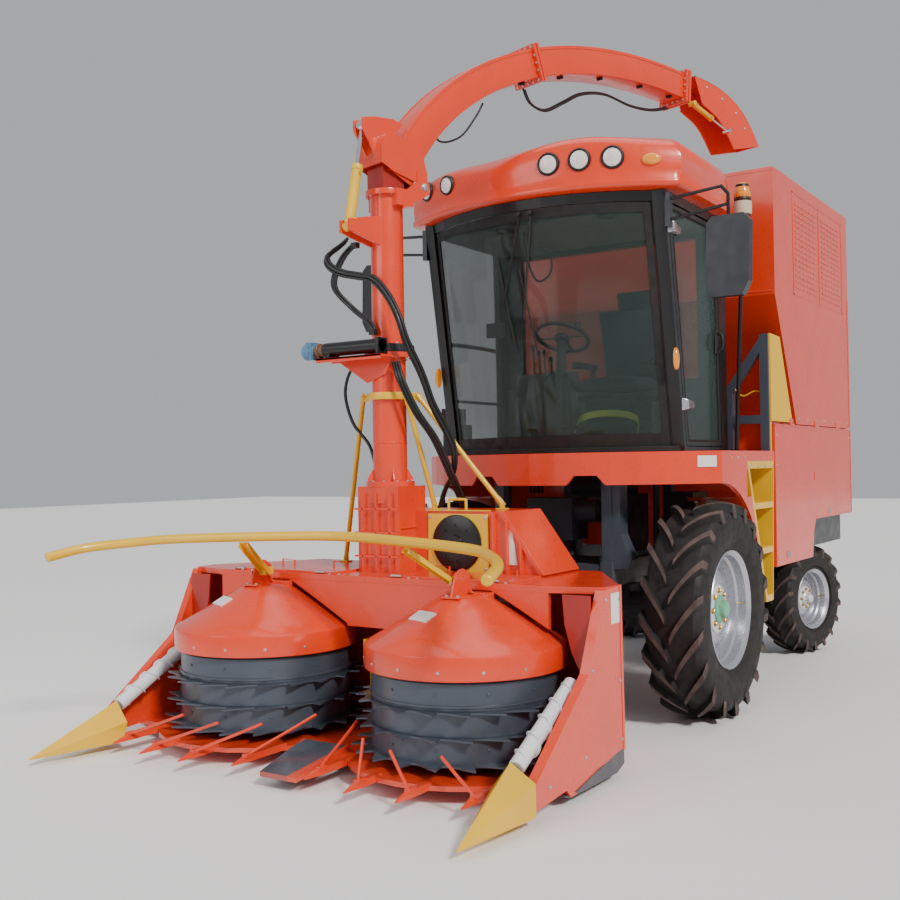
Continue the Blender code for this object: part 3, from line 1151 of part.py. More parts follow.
def cylinders():
    cylinder("lift_cylinder", "cast", "chassis", LIFT_BASE[1:], LIFT_EYE[1:], 0.0, LIFT_BARREL, 0.022, 0.72, in_header_plane)
    cylinder("tilt_cylinder", "yellow", "turret", TILT_BASE, TILT_EYE, 0.0, 0.032, 0.014, 0.60, in_spout_plane)
    cylinder("flap_cylinder", "yellow", "spout", FLAP_BASE, FLAP_EYE, DUCT_WIDTH / 2 + 0.045, 0.020, 0.009, 0.55,
             in_spout_plane)


# ---------------------------------------------------------------- hoses
HOSE_RADIUS = 0.022
COLUMN_HOSES = [(-0.545, -1.245, 2.225), (-0.60, -1.21, 1.95), (-0.71, -1.20, 1.70), (-0.72, -1.22, 1.45), (-0.69, -1.25, 1.25),
                (-0.685, -1.28, 1.12)]
TURRET_HOSES = [(-0.16, 2.96, -0.10), (-0.22, 2.86, -0.16), (-0.26, 2.70, -0.19), (-0.16, 2.57, -0.12), (-0.135, 2.48, -0.02),
                (-0.130, 2.42, 0.02)]
SPOUT_HOSES = [(1.18, 4.16, 0.0), (1.28, 3.98, 0.0), (1.50, 4.05, 0.0), (1.75, 4.22, 0.0), (2.00, 4.285, 0.0), (2.30, 4.19, 0.0),
               (2.55, 4.23, 0.0), (2.72, 4.33, 0.0)]


def hoses():
    """The hose bundles, each held at both ends by the body that it lies on."""
    node("column_hoses", "header", "rubber", sweep(smooth_route(COLUMN_HOSES, 4), HOSE_RADIUS, 8), smooth=True)
    turret_route = [along_spout(s, z, across) for s, z, across in TURRET_HOSES]
    node("turret_hoses", "turret", "rubber", sweep(smooth_route(turret_route, 4), HOSE_RADIUS, 8), smooth=True)
    spout_route = [along_spout(s, z, across) for s, z, across in SPOUT_HOSES]
    node("spout_hoses", "spout", "rubber", sweep(smooth_route(spout_route, 4), 0.012, 8), smooth=True)


# ---------------------------------------------------------------- assembly
def harvester():
    body("chassis")
    chassis_frame()
    running_gear()
    platform()
    ladder()
    guard_rail()
    rear_body()
    side_doors()
    under_body()
    cab()
    roof()
    seat()
    steering_wheel()
    mirrors()
    beacon()
    body("header", "chassis", (HEADER_X, HEADER_PIVOT_Y, HEADER_PIVOT_Z))
    header_frame()
    deck_lids()
    drum_covers()
    drums()
    rollers()
    guide_bar()
    chopper_and_column()
    slewing_and_struts()
    turret()
    spout()
    cylinders()
    hoses()


def stand_at_origin():
    """Moves the root so that the middle of the machine's footprint is the world's origin."""
    bpy.context.view_layer.update()
    corners = [
        obj.matrix_world @ Vector(vert.co) for obj in bpy.context.scene.objects if obj.type == "MESH" for vert in obj.data.vertices
    ]
    low = [min(corner[i] for corner in corners) for i in range(2)]
    high = [max(corner[i] for corner in corners) for i in range(2)]
    BODIES["chassis"].location = (-(low[0] + high[0]) / 2, -(low[1] + high[1]) / 2, 0)
    bpy.context.view_layer.update()


for startup_object in list(bpy.context.scene.objects):
    bpy.data.objects.remove(startup_object)
harvester()
stand_at_origin()
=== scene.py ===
"""Looks for the forage harvester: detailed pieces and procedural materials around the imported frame."""

import json
import math

import bmesh
import bpy
from mathutils import Matrix, Vector


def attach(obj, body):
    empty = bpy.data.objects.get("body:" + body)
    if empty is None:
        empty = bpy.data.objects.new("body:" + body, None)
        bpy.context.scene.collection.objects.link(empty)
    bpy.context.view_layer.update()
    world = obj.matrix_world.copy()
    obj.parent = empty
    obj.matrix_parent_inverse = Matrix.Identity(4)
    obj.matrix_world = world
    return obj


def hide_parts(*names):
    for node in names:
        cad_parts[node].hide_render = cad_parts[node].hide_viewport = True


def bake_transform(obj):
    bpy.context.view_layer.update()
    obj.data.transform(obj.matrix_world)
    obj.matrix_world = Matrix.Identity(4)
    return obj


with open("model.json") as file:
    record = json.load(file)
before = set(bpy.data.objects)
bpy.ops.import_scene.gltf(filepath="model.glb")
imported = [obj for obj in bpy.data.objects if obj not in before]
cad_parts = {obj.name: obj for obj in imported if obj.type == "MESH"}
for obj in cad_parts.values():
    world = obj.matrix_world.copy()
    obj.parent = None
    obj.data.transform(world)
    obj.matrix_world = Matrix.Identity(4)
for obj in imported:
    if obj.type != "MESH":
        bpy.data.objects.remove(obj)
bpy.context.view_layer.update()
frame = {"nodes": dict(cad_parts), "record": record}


def joint_place(name):
    return Vector(next(j["pos_m"] for j in frame["record"]["behaviour"]["joints"] if j["name"] == name))


# Pieces are built in the chassis frame (origin under the middle of the front axle), then moved by SHIFT.
FRONT_HALF_TRACK = 0.96
FRONT_RADIUS = 0.685
SHIFT = joint_place("front_wheel_left_spin") - Vector((FRONT_HALF_TRACK, 0, FRONT_RADIUS))


# ---------------------------------------------------------------- shapes: (points, faces)
def box(low, high):
    points = [Vector((x, y, z)) for x in (low[0], high[0]) for y in (low[1], high[1]) for z in (low[2], high[2])]
    return points, [(0, 1, 3, 2), (4, 6, 7, 5), (0, 4, 5, 1), (2, 3, 7, 6), (0, 2, 6, 4), (1, 5, 7, 3)]


def around(x, y, z, dx, dy, dz):
    return box((x - dx, y - dy, z - dz), (x + dx, y + dy, z + dz))


def loft(loops, closed=False):
    """Skins loops of equal count, and caps the two ends, or joins the last loop to the first."""
    count = len(loops[0])
    points = [Vector(p) for loop in loops for p in loop]
    rows = list(range(len(loops)))
    pairs = list(zip(rows, rows[1:] + rows[:1] if closed else rows[1:]))
    faces = []
    for a, b in pairs:
        for i in range(count):
            j = (i + 1) % count
            faces.append((a * count + i, a * count + j, b * count + j, b * count + i))
    if not closed:
        faces.append(tuple(range(count))[::-1])
        faces.append(tuple(range((len(loops) - 1) * count, len(loops) * count)))
    return points, faces


def quad(a0, a1, b0, b1):
    return [(a0, b0), (a1, b0), (a1, b1), (a0, b1)]


def stack(*levels):
    """A block whose rectangle changes with height: (x0, x1, y0, y1, z) at each level."""
    return loft([[(x, y, z) for x, y in quad(x0, x1, y0, y1)] for x0, x1, y0, y1, z in levels])


def prism(outline, axis, start, end):
    """An outline in the two other axes, drawn out along one axis."""
    place = {"X": lambda a, b, t: (t, a, b), "Y": lambda a, b, t: (a, t, b), "Z": lambda a, b, t: (a, b, t)}[axis]
    return loft([[place(a, b, t) for a, b in outline] for t in (start, end)])


def across(direction):
    """Two directions square to this one: a level one and one upward."""
    direction = Vector(direction).normalized()
    level = Vector((0, 0, 1)) if abs(direction.z) < 0.99 else Vector((0, 1, 0))
    side = direction.cross(level).normalized()
    return side, side.cross(direction).normalized()


def turned(profile, centre, axis=(0, 0, 1), sides=48):
    """A closed profile of (radius, along) points turned about an axis."""
    centre, direction = Vector(centre), Vector(axis).normalized()
    side, up = across(direction)
    points, faces, rings = [], [], []
    for radius, along in profile:
        middle = centre + direction * along
        if radius < 1e-6:
            points.append(middle)
            rings.append([len(points) - 1] * sides)
            continue
        first = len(points)
        for i in range(sides):
            a = 2 * math.pi * i / sides
            points.append(middle + radius * (math.cos(a) * side + math.sin(a) * up))
        rings.append(list(range(first, first + sides)))
    for one, two in zip(rings, rings[1:] + rings[:1]):
        for i in range(sides):
            j = (i + 1) % sides
            corners = tuple(dict.fromkeys((one[i], one[j], two[j], two[i])))
            if len(corners) > 2:
                faces.append(corners)
    return points, faces


def rod(start, end, radius, sides=16, chamfer=0.0):
    """A round bar from point to point, with its ends chamfered."""
    length = (Vector(end) - Vector(start)).length
    c = min(chamfer, radius * 0.6)
    profile = [(0, 0), (radius - c, 0), (radius, c), (radius, length - c), (radius - c, length), (0, length)]
    if c == 0:
        profile = [(0, 0), (radius, 0), (radius, length), (0, length)]
    return turned(profile, start, Vector(end) - Vector(start), sides)


def sweep(points, radius, sides=12):
    """A round bar along points; radius is one value or one for each point."""
    points = [Vector(p) for p in points]
    loops, side = [], None
    for i, point in enumerate(points):
        ahead = points[min(i + 1, len(points) - 1)] - point
        behind = point - points[max(i - 1, 0)]
        direction = (ahead.normalized() + behind.normalized()).normalized()
        if side is None:
            side, up = across(direction)
        else:
            side = (side - direction * side.dot(direction)).normalized()
            up = side.cross(direction).normalized()
        size = radius[i] if isinstance(radius, (list, tuple)) else radius
        loops.append([point + size * (math.cos(a) * side + math.sin(a) * up) for a in round_angles(sides)])
    return loft(loops)


def smooth_route(points, steps):
    """A smooth curve through the points, in steps from one to the next."""
    points = [Vector(p) for p in points]
    route = []
    for i in range(len(points) - 1):
        a, b, c, d = points[max(i - 1, 0)], points[i], points[i + 1], points[min(i + 2, len(points) - 1)]
        for k in range(steps):
            t = k / steps
            bend, twist = 2 * a - 5 * b + 4 * c - d, 3 * b - a - 3 * c + d
            route.append(0.5 * (2 * b + (c - a) * t + bend * t**2 + twist * t**3))
    return route + [points[-1]]


def bar(start, end, width, height):
    """A rectangular bar from point to point."""
    side, up = across(Vector(end) - Vector(start))
    a, b = side * width / 2, up * height / 2
    return loft([[Vector(p) + c for c in (-a - b, a - b, a + b, -a + b)] for p in (start, end)])


def arc(centre, radius, start, end, count):
    angles = [math.radians(start + (end - start) * i / (count - 1)) for i in range(count)]
    return [(centre[0] + radius * math.cos(a), centre[1] + radius * math.sin(a)) for a in angles]


def bow(half, corner_y, bulge, count):
    """A shallow front arc from corner to corner, bulging forward in the middle."""
    radius = (half**2 + bulge**2) / (2 * bulge)
    reach = math.degrees(math.asin(half / radius))
    return arc((0, corner_y - bulge + radius), radius, -90 + reach, -90 - reach, count)


def bow_y(x, half, corner_y, bulge):
    """How far forward that arc lies at x."""
    radius = (half**2 + bulge**2) / (2 * bulge)
    return corner_y - bulge + radius - math.sqrt(max(radius**2 - x * x, 0))


def round_angles(count, shift=0.0):
    return [2 * math.pi * (i + shift) / count for i in range(count)]


def bell(value, middle, width):
    return math.exp(-((value - middle) / width) ** 2)


def merge(*shapes):
    points, faces = [], []
    for shape_points, shape_faces in shapes:
        base = len(points)
        points += shape_points
        faces += [tuple(i + base for i in face) for face in shape_faces]
    return points, faces


def moved(shape, matrix):
    return [matrix @ p for p in shape[0]], shape[1]


def bolt(centre, axis, radius=0.009, height=0.007):
    """A hexagon head on a round washer."""
    centre, axis = Vector(centre), Vector(axis).normalized()
    washer = turned([(0, -0.001), (radius * 1.35, -0.001), (radius * 1.35, height * 0.25), (0, height * 0.25)],
                    centre, axis, 12)
    head = turned([(0, 0), (radius, 0), (radius, height * 0.85), (radius * 0.8, height), (0, height)], centre, axis,
                  6)
    return merge(washer, head)


def bolt_row(start, end, count, axis, radius=0.009):
    start, end = Vector(start), Vector(end)
    return merge(*[bolt(start.lerp(end, i / max(count - 1, 1)), axis, radius) for i in range(count)])


def bolt_ring(centre, axis, ring, count, radius=0.009):
    side, up = across(axis)
    return merge(*[bolt(Vector(centre) + ring * (math.cos(a) * side + math.sin(a) * up), axis, radius)
                   for a in round_angles(count)])


# ---------------------------------------------------------------- materials
MATERIALS = {}
SLOTS = {}
DUST = (0.36, 0.27, 0.19)
RED = (0.76, 0.042, 0.005)
# Painted shade: the red paint made darker, for red parts that sit in shade.
PAINTED_SHADE_RED = (0.36, 0.014, 0.006)
YELLOW = (0.78, 0.45, 0.004)
BLUE_GREY = (0.050, 0.062, 0.088)


def mapped_noise(tree, scale, detail=4.0, stretch=None):
    coords = tree.nodes.new("ShaderNodeTexCoord")
    noise = tree.nodes.new("ShaderNodeTexNoise")
    noise.inputs["Scale"].default_value = scale
    noise.inputs["Detail"].default_value = detail
    if stretch:
        mapping = tree.nodes.new("ShaderNodeMapping")
        mapping.inputs["Scale"].default_value = stretch
        tree.links.new(coords.outputs["Object"], mapping.inputs["Vector"])
        tree.links.new(mapping.outputs["Vector"], noise.inputs["Vector"])
    else:
        tree.links.new(coords.outputs["Object"], noise.inputs["Vector"])
    return noise.outputs["Fac"]


def ramp(tree, source, low, high, a=0.0, b=1.0):
    node = tree.nodes.new("ShaderNodeMapRange")
    node.inputs["From Min"].default_value = low
    node.inputs["From Max"].default_value = high
    node.inputs["To Min"].default_value = a
    node.inputs["To Max"].default_value = b
    tree.links.new(source, node.inputs["Value"])
    return node.outputs["Result"]


def math_node(tree, kind, a, b):
    node = tree.nodes.new("ShaderNodeMath")
    node.operation = kind
    node.use_clamp = True
    for socket, value in zip(node.inputs, (a, b)):
        if isinstance(value, (int, float)):
            socket.default_value = value
        else:
            tree.links.new(value, socket)
    return node.outputs[0]


def mixed(tree, factor, a, b):
    node = tree.nodes.new("ShaderNodeMix")
    node.data_type = "RGBA"
    tree.links.new(factor, node.inputs["Factor"])
    for socket, value in ((node.inputs[6], a), (node.inputs[7], b)):
        if isinstance(value, tuple):
            socket.default_value = (*value[:3], 1.0)
        else:
            tree.links.new(value, socket)
    return node.outputs[2]


def axis_value(tree, axis, source="Object"):
    """The object's own X, Y or Z at the shaded point, or its normal's."""
    if source == "Normal":
        node = tree.nodes.new("ShaderNodeNewGeometry").outputs["Normal"]
    else:
        node = tree.nodes.new("ShaderNodeTexCoord").outputs["Object"]
    split = tree.nodes.new("ShaderNodeSeparateXYZ")
    tree.links.new(node, split.inputs[0])
    return split.outputs["XYZ".index(axis)]


def material(name, slot, colour, roughness, metallic=0.0, coat=0.0, vary=0.08, vary_scale=3.0, grain=(180.0, 0.03),
             dust=DUST, dust_up=0.0, dust_low=None, stretch=None, zones=()):
    """A painted, cast, moulded or rubber surface, with its slot in the table of looks.

    vary is the slow change of the colour, and grain the (scale, strength) of the bump. Dust lies on upward faces by
    dust_up, and dust_low is (full below, none above, strength). Zones are (mask, colour) painted over the base.
    """
    mat = bpy.data.materials.new(name)
    mat.use_nodes = True
    tree = mat.node_tree
    shader = tree.nodes["Principled BSDF"]
    slow = mapped_noise(tree, vary_scale, 5.0, stretch)
    darker = tuple(c * (1 - vary) for c in colour)
    lighter = tuple(min(1.0, c * (1 + vary)) for c in colour)
    out = mixed(tree, ramp(tree, slow, 0.3, 0.7), darker, lighter)
    for mask, paint in zones:
        out = mixed(tree, mask(tree), out, paint)
    rough = ramp(tree, mapped_noise(tree, 14.0, 6.0), 0.3, 0.75, roughness * 0.82, min(1.0, roughness * 1.3))
    if dust_up:
        patchy = ramp(tree, mapped_noise(tree, 5.0, 8.0), 0.38, 0.72)
        layer = math_node(tree, "MULTIPLY", ramp(tree, axis_value(tree, "Z", "Normal"), 0.2, 1.0, 0.12, 1.0), patchy)
        layer = math_node(tree, "MULTIPLY", layer, dust_up)
        if dust_low:
            low = ramp(tree, axis_value(tree, "Z"), dust_low[1], dust_low[0])
            low = math_node(tree, "MULTIPLY", low, ramp(tree, mapped_noise(tree, 9.0, 8.0), 0.3, 0.65, 0.25, 1.0))
            layer = math_node(tree, "MAXIMUM", layer, math_node(tree, "MULTIPLY", low, dust_low[2]))
        out = mixed(tree, layer, out, dust)
        rough = math_node(tree, "MAXIMUM", rough, math_node(tree, "MULTIPLY", layer, 0.9))
    tree.links.new(out, shader.inputs["Base Color"])
    tree.links.new(rough, shader.inputs["Roughness"])
    shader.inputs["Metallic"].default_value = metallic
    shader.inputs["Coat Weight"].default_value = coat
    shader.inputs["Coat Roughness"].default_value = 0.12
    if grain:
        bump = tree.nodes.new("ShaderNodeBump")
        bump.inputs["Strength"].default_value = grain[1]
        bump.inputs["Distance"].default_value = 0.004
        tree.links.new(mapped_noise(tree, grain[0], 4.0), bump.inputs["Height"])
        tree.links.new(bump.outputs["Normal"], shader.inputs["Normal"])
    MATERIALS[name] = mat
    SLOTS[name] = slot


def window(name, colour, alpha):
    """Tinted safety glass, clear enough to see the inside, with faint smears."""
    mat = bpy.data.materials.new(name)
    mat.use_nodes = True
    tree = mat.node_tree
    shader = tree.nodes["Principled BSDF"]
    shader.inputs["Base Color"].default_value = (*colour, 1.0)
    shader.inputs["IOR"].default_value = 1.5
    smear = ramp(tree, mapped_noise(tree, 2.2, 6.0, (1.0, 1.0, 0.35)), 0.35, 0.75, 0.01, 0.05)
    tree.links.new(smear, shader.inputs["Roughness"])
    haze = ramp(tree, mapped_noise(tree, 1.6, 5.0), 0.35, 0.75, alpha * 0.92, min(1.0, alpha * 1.12))
    tree.links.new(haze, shader.inputs["Alpha"])
    MATERIALS[name] = mat


def beyond(axis, low, high, softness=0.004):
    """A mask: 1 where the object's own coordinate lies between low and high."""
    def mask(tree):
        value = axis_value(tree, axis)
        rise = ramp(tree, value, low - softness, low + softness)
        fall = ramp(tree, value, high + softness, high - softness)
        return math_node(tree, "MULTIPLY", rise, fall)
    return mask


def both(one, two):
    return lambda tree: math_node(tree, "MULTIPLY", one(tree), two(tree))


def make_materials():
    far = 50.0
    y_arm = -0.925 + SHIFT.y
    arm_mask = beyond("Y", y_arm, far)
    wedge_mask = both(both(beyond("X", -0.54 + SHIFT.x, -0.26 + SHIFT.x),
                           beyond("Y", -2.62 + SHIFT.y, -2.10 + SHIFT.y)), beyond("Z", 0.02, 0.20))
    material("red_paint", "orange", RED, 0.30, coat=0.55, vary=0.05, grain=(60.0, 0.02), dust_up=0.03,
             dust_low=(0.6, 1.3, 0.03))
    material("header_paint", "orange", RED, 0.30, coat=0.55, vary=0.06, grain=(60.0, 0.02), dust_up=0.04,
             dust_low=(0.0, 0.35, 0.10), zones=[(arm_mask, BLUE_GREY), (wedge_mask, BLUE_GREY)])
    # Painted shade: the orange-red paint darkened, for the shaded recesses under the deck and under the spout's hood.
    material("painted_shade_red", "orange", PAINTED_SHADE_RED, 0.36, coat=0.3, vary=0.10, dust_up=0.05)
    material("yellow_paint", "yellow", YELLOW, 0.34, coat=0.4, vary=0.06, dust_up=0.05)
    material("blue_grey_paint", "steel_blue", BLUE_GREY, 0.46, vary=0.12, dust_up=0.12, dust_low=(0.5, 1.2, 0.18))
    plate_mask = both(beyond("X", 1.0805 + SHIFT.x, far, 0.001), beyond("Y", 0.953 + SHIFT.y, far, 0.001))
    material("rail_paint", None, BLUE_GREY, 0.46, vary=0.12, dust_up=0.08, zones=[(plate_mask, YELLOW)])
    material("drum_paint", "drum_grey", (0.072, 0.088, 0.118), 0.38, metallic=0.35, coat=0.2, vary=0.16,
             vary_scale=1.6, grain=(90.0, 0.04), dust_up=0.04, stretch=(1, 1, 0.3))
    material("black_paint", "black", (0.003, 0.003, 0.0035), 0.34, coat=0.1, vary=0.2, dust_up=0.03)
    material("black_plastic", "black", (0.008, 0.008, 0.009), 0.50, vary=0.2, grain=(420.0, 0.12), dust_up=0.05)
    material("navy_plastic", None, (0.004, 0.006, 0.012), 0.36, coat=0.15, vary=0.2, grain=(300.0, 0.04),
             dust_up=0.04)
    material("seal_rubber", "black", (0.004, 0.004, 0.004), 0.62, vary=0.2, grain=(260.0, 0.08))
    material("hose_rubber", "rubber", (0.006, 0.006, 0.007), 0.42, vary=0.25, grain=(340.0, 0.10), dust_up=0.05)
    material("tyre_rubber", "tyre", (0.0085, 0.0075, 0.0075), 0.72, vary=0.3, vary_scale=8.0, grain=(160.0, 0.25),
             dust=(0.10, 0.07, 0.055), dust_up=0.25, dust_low=(0.0, 2.0, 0.10))
    material("lug_rubber", "tyre", (0.075, 0.048, 0.042), 0.85, vary=0.45, vary_scale=11.0, grain=(140.0, 0.35),
             dust=(0.17, 0.12, 0.09), dust_up=0.35)
    material("rim_paint", "rim_silver", (0.50, 0.51, 0.56), 0.26, metallic=0.75, coat=0.3, vary=0.06, dust_up=0.04)
    material("hub_white", "rim_silver", (0.70, 0.71, 0.74), 0.40, metallic=0.2, vary=0.06, dust_up=0.15)
    material("hub_green", "rim_silver", (0.13, 0.42, 0.25), 0.42, coat=0.2, vary=0.12, dust_up=0.15)
    material("brass", None, (0.62, 0.40, 0.14), 0.35, metallic=1.0, vary=0.12)
    material("zinc", "chrome", (0.55, 0.55, 0.54), 0.38, metallic=0.9, vary=0.10, grain=(220.0, 0.05))
    material("chrome", None, (0.75, 0.76, 0.78), 0.10, metallic=1.0, vary=0.03, grain=None)
    material("cast_iron", "cast", (0.022, 0.025, 0.032), 0.60, metallic=0.2, vary=0.2, grain=(120.0, 0.30),
             dust_up=0.12, dust_low=(0.2, 0.9, 0.14))
    material("white_paint", "white", (0.72, 0.74, 0.78), 0.34, coat=0.4, vary=0.04, dust_up=0.03)
    material("label_white", "white", (0.78, 0.78, 0.76), 0.45, vary=0.04, grain=None)
    material("seat_cloth", "seat_cloth", (0.030, 0.042, 0.060), 0.88, vary=0.2, vary_scale=14.0, grain=(520.0, 0.35))
    material("strap_green", "yellow", (0.50, 0.62, 0.03), 0.70, vary=0.12, grain=(700.0, 0.3))
    material("cream_plastic", "white", (0.60, 0.52, 0.38), 0.45, vary=0.06, dust_up=0.10)
    material("blue_motor", "cast", (0.07, 0.20, 0.36), 0.38, coat=0.2, vary=0.12, dust_up=0.2)
    material("bronze_paint", "cast", (0.17, 0.085, 0.04), 0.45, vary=0.15, dust_up=0.15)
    material("amber_lens", "yellow", (0.88, 0.30, 0.015), 0.12, coat=0.8, vary=0.06, grain=(60.0, 0.2))
    material("lamp_lens", "white", (0.82, 0.74, 0.72), 0.10, coat=0.9, vary=0.03, grain=(70.0, 0.35))
    material("interior_grey", "seat_cloth", (0.10, 0.105, 0.11), 0.75, vary=0.12, grain=(300.0, 0.15))
    material("mirror_face", "chrome", (0.70, 0.74, 0.78), 0.03, metallic=1.0, vary=0.01, grain=None)
    window("cab_glass", (0.030, 0.052, 0.045), 0.34)
    window("side_glass", (0.060, 0.10, 0.088), 0.30)


make_materials()


# ---------------------------------------------------------------- pieces
def piece(name, shapes, on, mat, slot=None, replaces=(), bevel=0.0, angle=35, subdiv=0, segments=2):
    """Makes a piece from shapes in the chassis frame, which rides on the CAD body of node on."""
    if isinstance(shapes, tuple):
        shapes = [shapes]
    points, faces = merge(*shapes)
    mesh = bpy.data.meshes.new(name)
    mesh.from_pydata([p + SHIFT for p in points], [], faces)
    bm = bmesh.new()
    bm.from_mesh(mesh)
    bmesh.ops.recalc_face_normals(bm, faces=bm.faces)
    bm.to_mesh(mesh)
    bm.free()
    obj = bpy.data.objects.new(name, mesh)
    bpy.context.scene.collection.objects.link(obj)
    mesh.materials.append(MATERIALS[mat])
    if bevel:
        add_bevel(obj, bevel, segments)
    if subdiv:
        sub = obj.modifiers.new("round", "SUBSURF")
        sub.levels = sub.render_levels = subdiv
    mesh.shade_smooth()
    if not subdiv:
        mesh.set_sharp_from_angle(angle=math.radians(angle))
    if replaces:
        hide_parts(*replaces)
    slot = slot or SLOTS[mat]
    if on:
        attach(obj, on)
    return obj


def add_bevel(obj, width, segments=2):
    modifier = obj.modifiers.new("edge", "BEVEL")
    modifier.width = width
    modifier.segments = segments
    modifier.limit_method = "ANGLE"
    modifier.angle_limit = math.radians(40)


def dress(node, mat, bevel=0.0, segments=2):
    """Gives a CAD node its finish, and a small rounded edge."""
    obj = frame["nodes"][node]
    obj.data.materials.clear()
    obj.data.materials.append(MATERIALS[mat])
    if bevel:
        add_bevel(obj, bevel, segments)


HEADER_X = -0.40
DRUM_X = {"left": HEADER_X + 0.7083, "right": HEADER_X - 0.7083}
DRUM_Y = -1.84
COLUMN = (-0.50, -1.39)
HEADING = math.radians(16)
SPOUT_TILT_MOST = 25


def along_spout(s, z, side=0.0):
    """A point at s along the spout's heading from the column, side to its right."""
    sin, cos = math.sin(HEADING), math.cos(HEADING)
    return Vector((COLUMN[0] + s * sin + side * cos, COLUMN[1] + s * cos - side * sin, z))


# ---------------------------------------------------------------- wheels
FRONT_WIDTH, FRONT_RIM = 0.378, 0.352
REAR_RADIUS, REAR_WIDTH, REAR_RIM = 0.4525, 0.274, 0.230
WHEELBASE = 2.72
PARKED_STEER = 14
LUGS = 18
LUG_SWEEP = 0.40


def lug(radius, half, index, sign, height, width, top):
    """One curved tread bar, from near the crown out over the shoulder, or the worn skin on its top."""
    start = 2 * math.pi * (index + (0.5 if sign > 0 else 0.0)) / LUGS
    loops = []
    steps = 8
    for k in range(steps + 1):
        t = k / steps
        w = 0.012 + (half - 0.012) * min(1.0, t * 1.12)
        fall = radius - height - 0.020 * (w / half) ** 3
        low, high = fall - 0.012, fall + height * (1.0 - 0.10 * (w / half) ** 4)
        if t > 0.88:
            extra = (t - 0.88) / 0.12
            low, high = low - 0.055 * extra, high - 0.085 * extra
            w = half * (1.0 - 0.012 * extra)
        a = start - LUG_SWEEP * (t**0.85)
        breadth = width * (0.85 + 0.40 * t) / radius
        loop = []
        corners = ((low, -1.0), (low, 1.0), (high - 0.001, 0.74), (high - 0.001, -0.74))
        if top:
            corners = ((high - 0.003, -0.74), (high - 0.003, 0.74), (high, 0.70), (high, -0.70))
        for r, b in corners:
            loop.append((sign * w, r * math.cos(a + b * breadth), r * math.sin(a + b * breadth)))
        loops.append(loop)
    return loft(loops)


def tyre(name, centre, radius, width, rim_radius, height, turn=0.0):
    """A traction tyre: a carcass with beads, side ribs and two rows of curved bars."""
    half = width / 2
    base = radius - height
    wall = base - rim_radius
    bead = ((0.002, 0.70), (0.002, 0.775), (0.020, 0.80), (0.045, 0.83))
    side = ((0.25, 0.93), (0.34, 0.945), (0.36, 0.96), (0.40, 0.96), (0.42, 0.965), (0.62, 0.975), (0.82, 0.955))
    crown = ((0.030, 0.90), (0.010, 0.76), (0.002, 0.40))
    profile = [(rim_radius + up, half * share) for up, share in bead]
    profile += [(rim_radius + up * wall, half * share) for up, share in side]
    profile += [(base - down, half * share) for down, share in crown]
    profile += [(base, 0)] + [(r, -w) for r, w in reversed(profile)]
    carcass = turned(profile, (0, 0, 0), (1, 0, 0), 96)
    breadth = 0.031 * radius / FRONT_RADIUS
    bars, tops = ([lug(radius, half * 0.985, i, sign, height, breadth, top) for i in range(LUGS) for sign in (1, -1)]
                  for top in (False, True))
    matrix = Matrix.Translation(Vector(centre)) @ Matrix.Rotation(turn, 4, "Z")
    piece(name + "_bar_tops", moved(merge(*tops), matrix), name, "lug_rubber", angle=30)
    shape = moved(merge(carcass, *bars), matrix)
    piece(name + "_tread", shape, name, "tyre_rubber", replaces=[name + "_tyre"], angle=30)


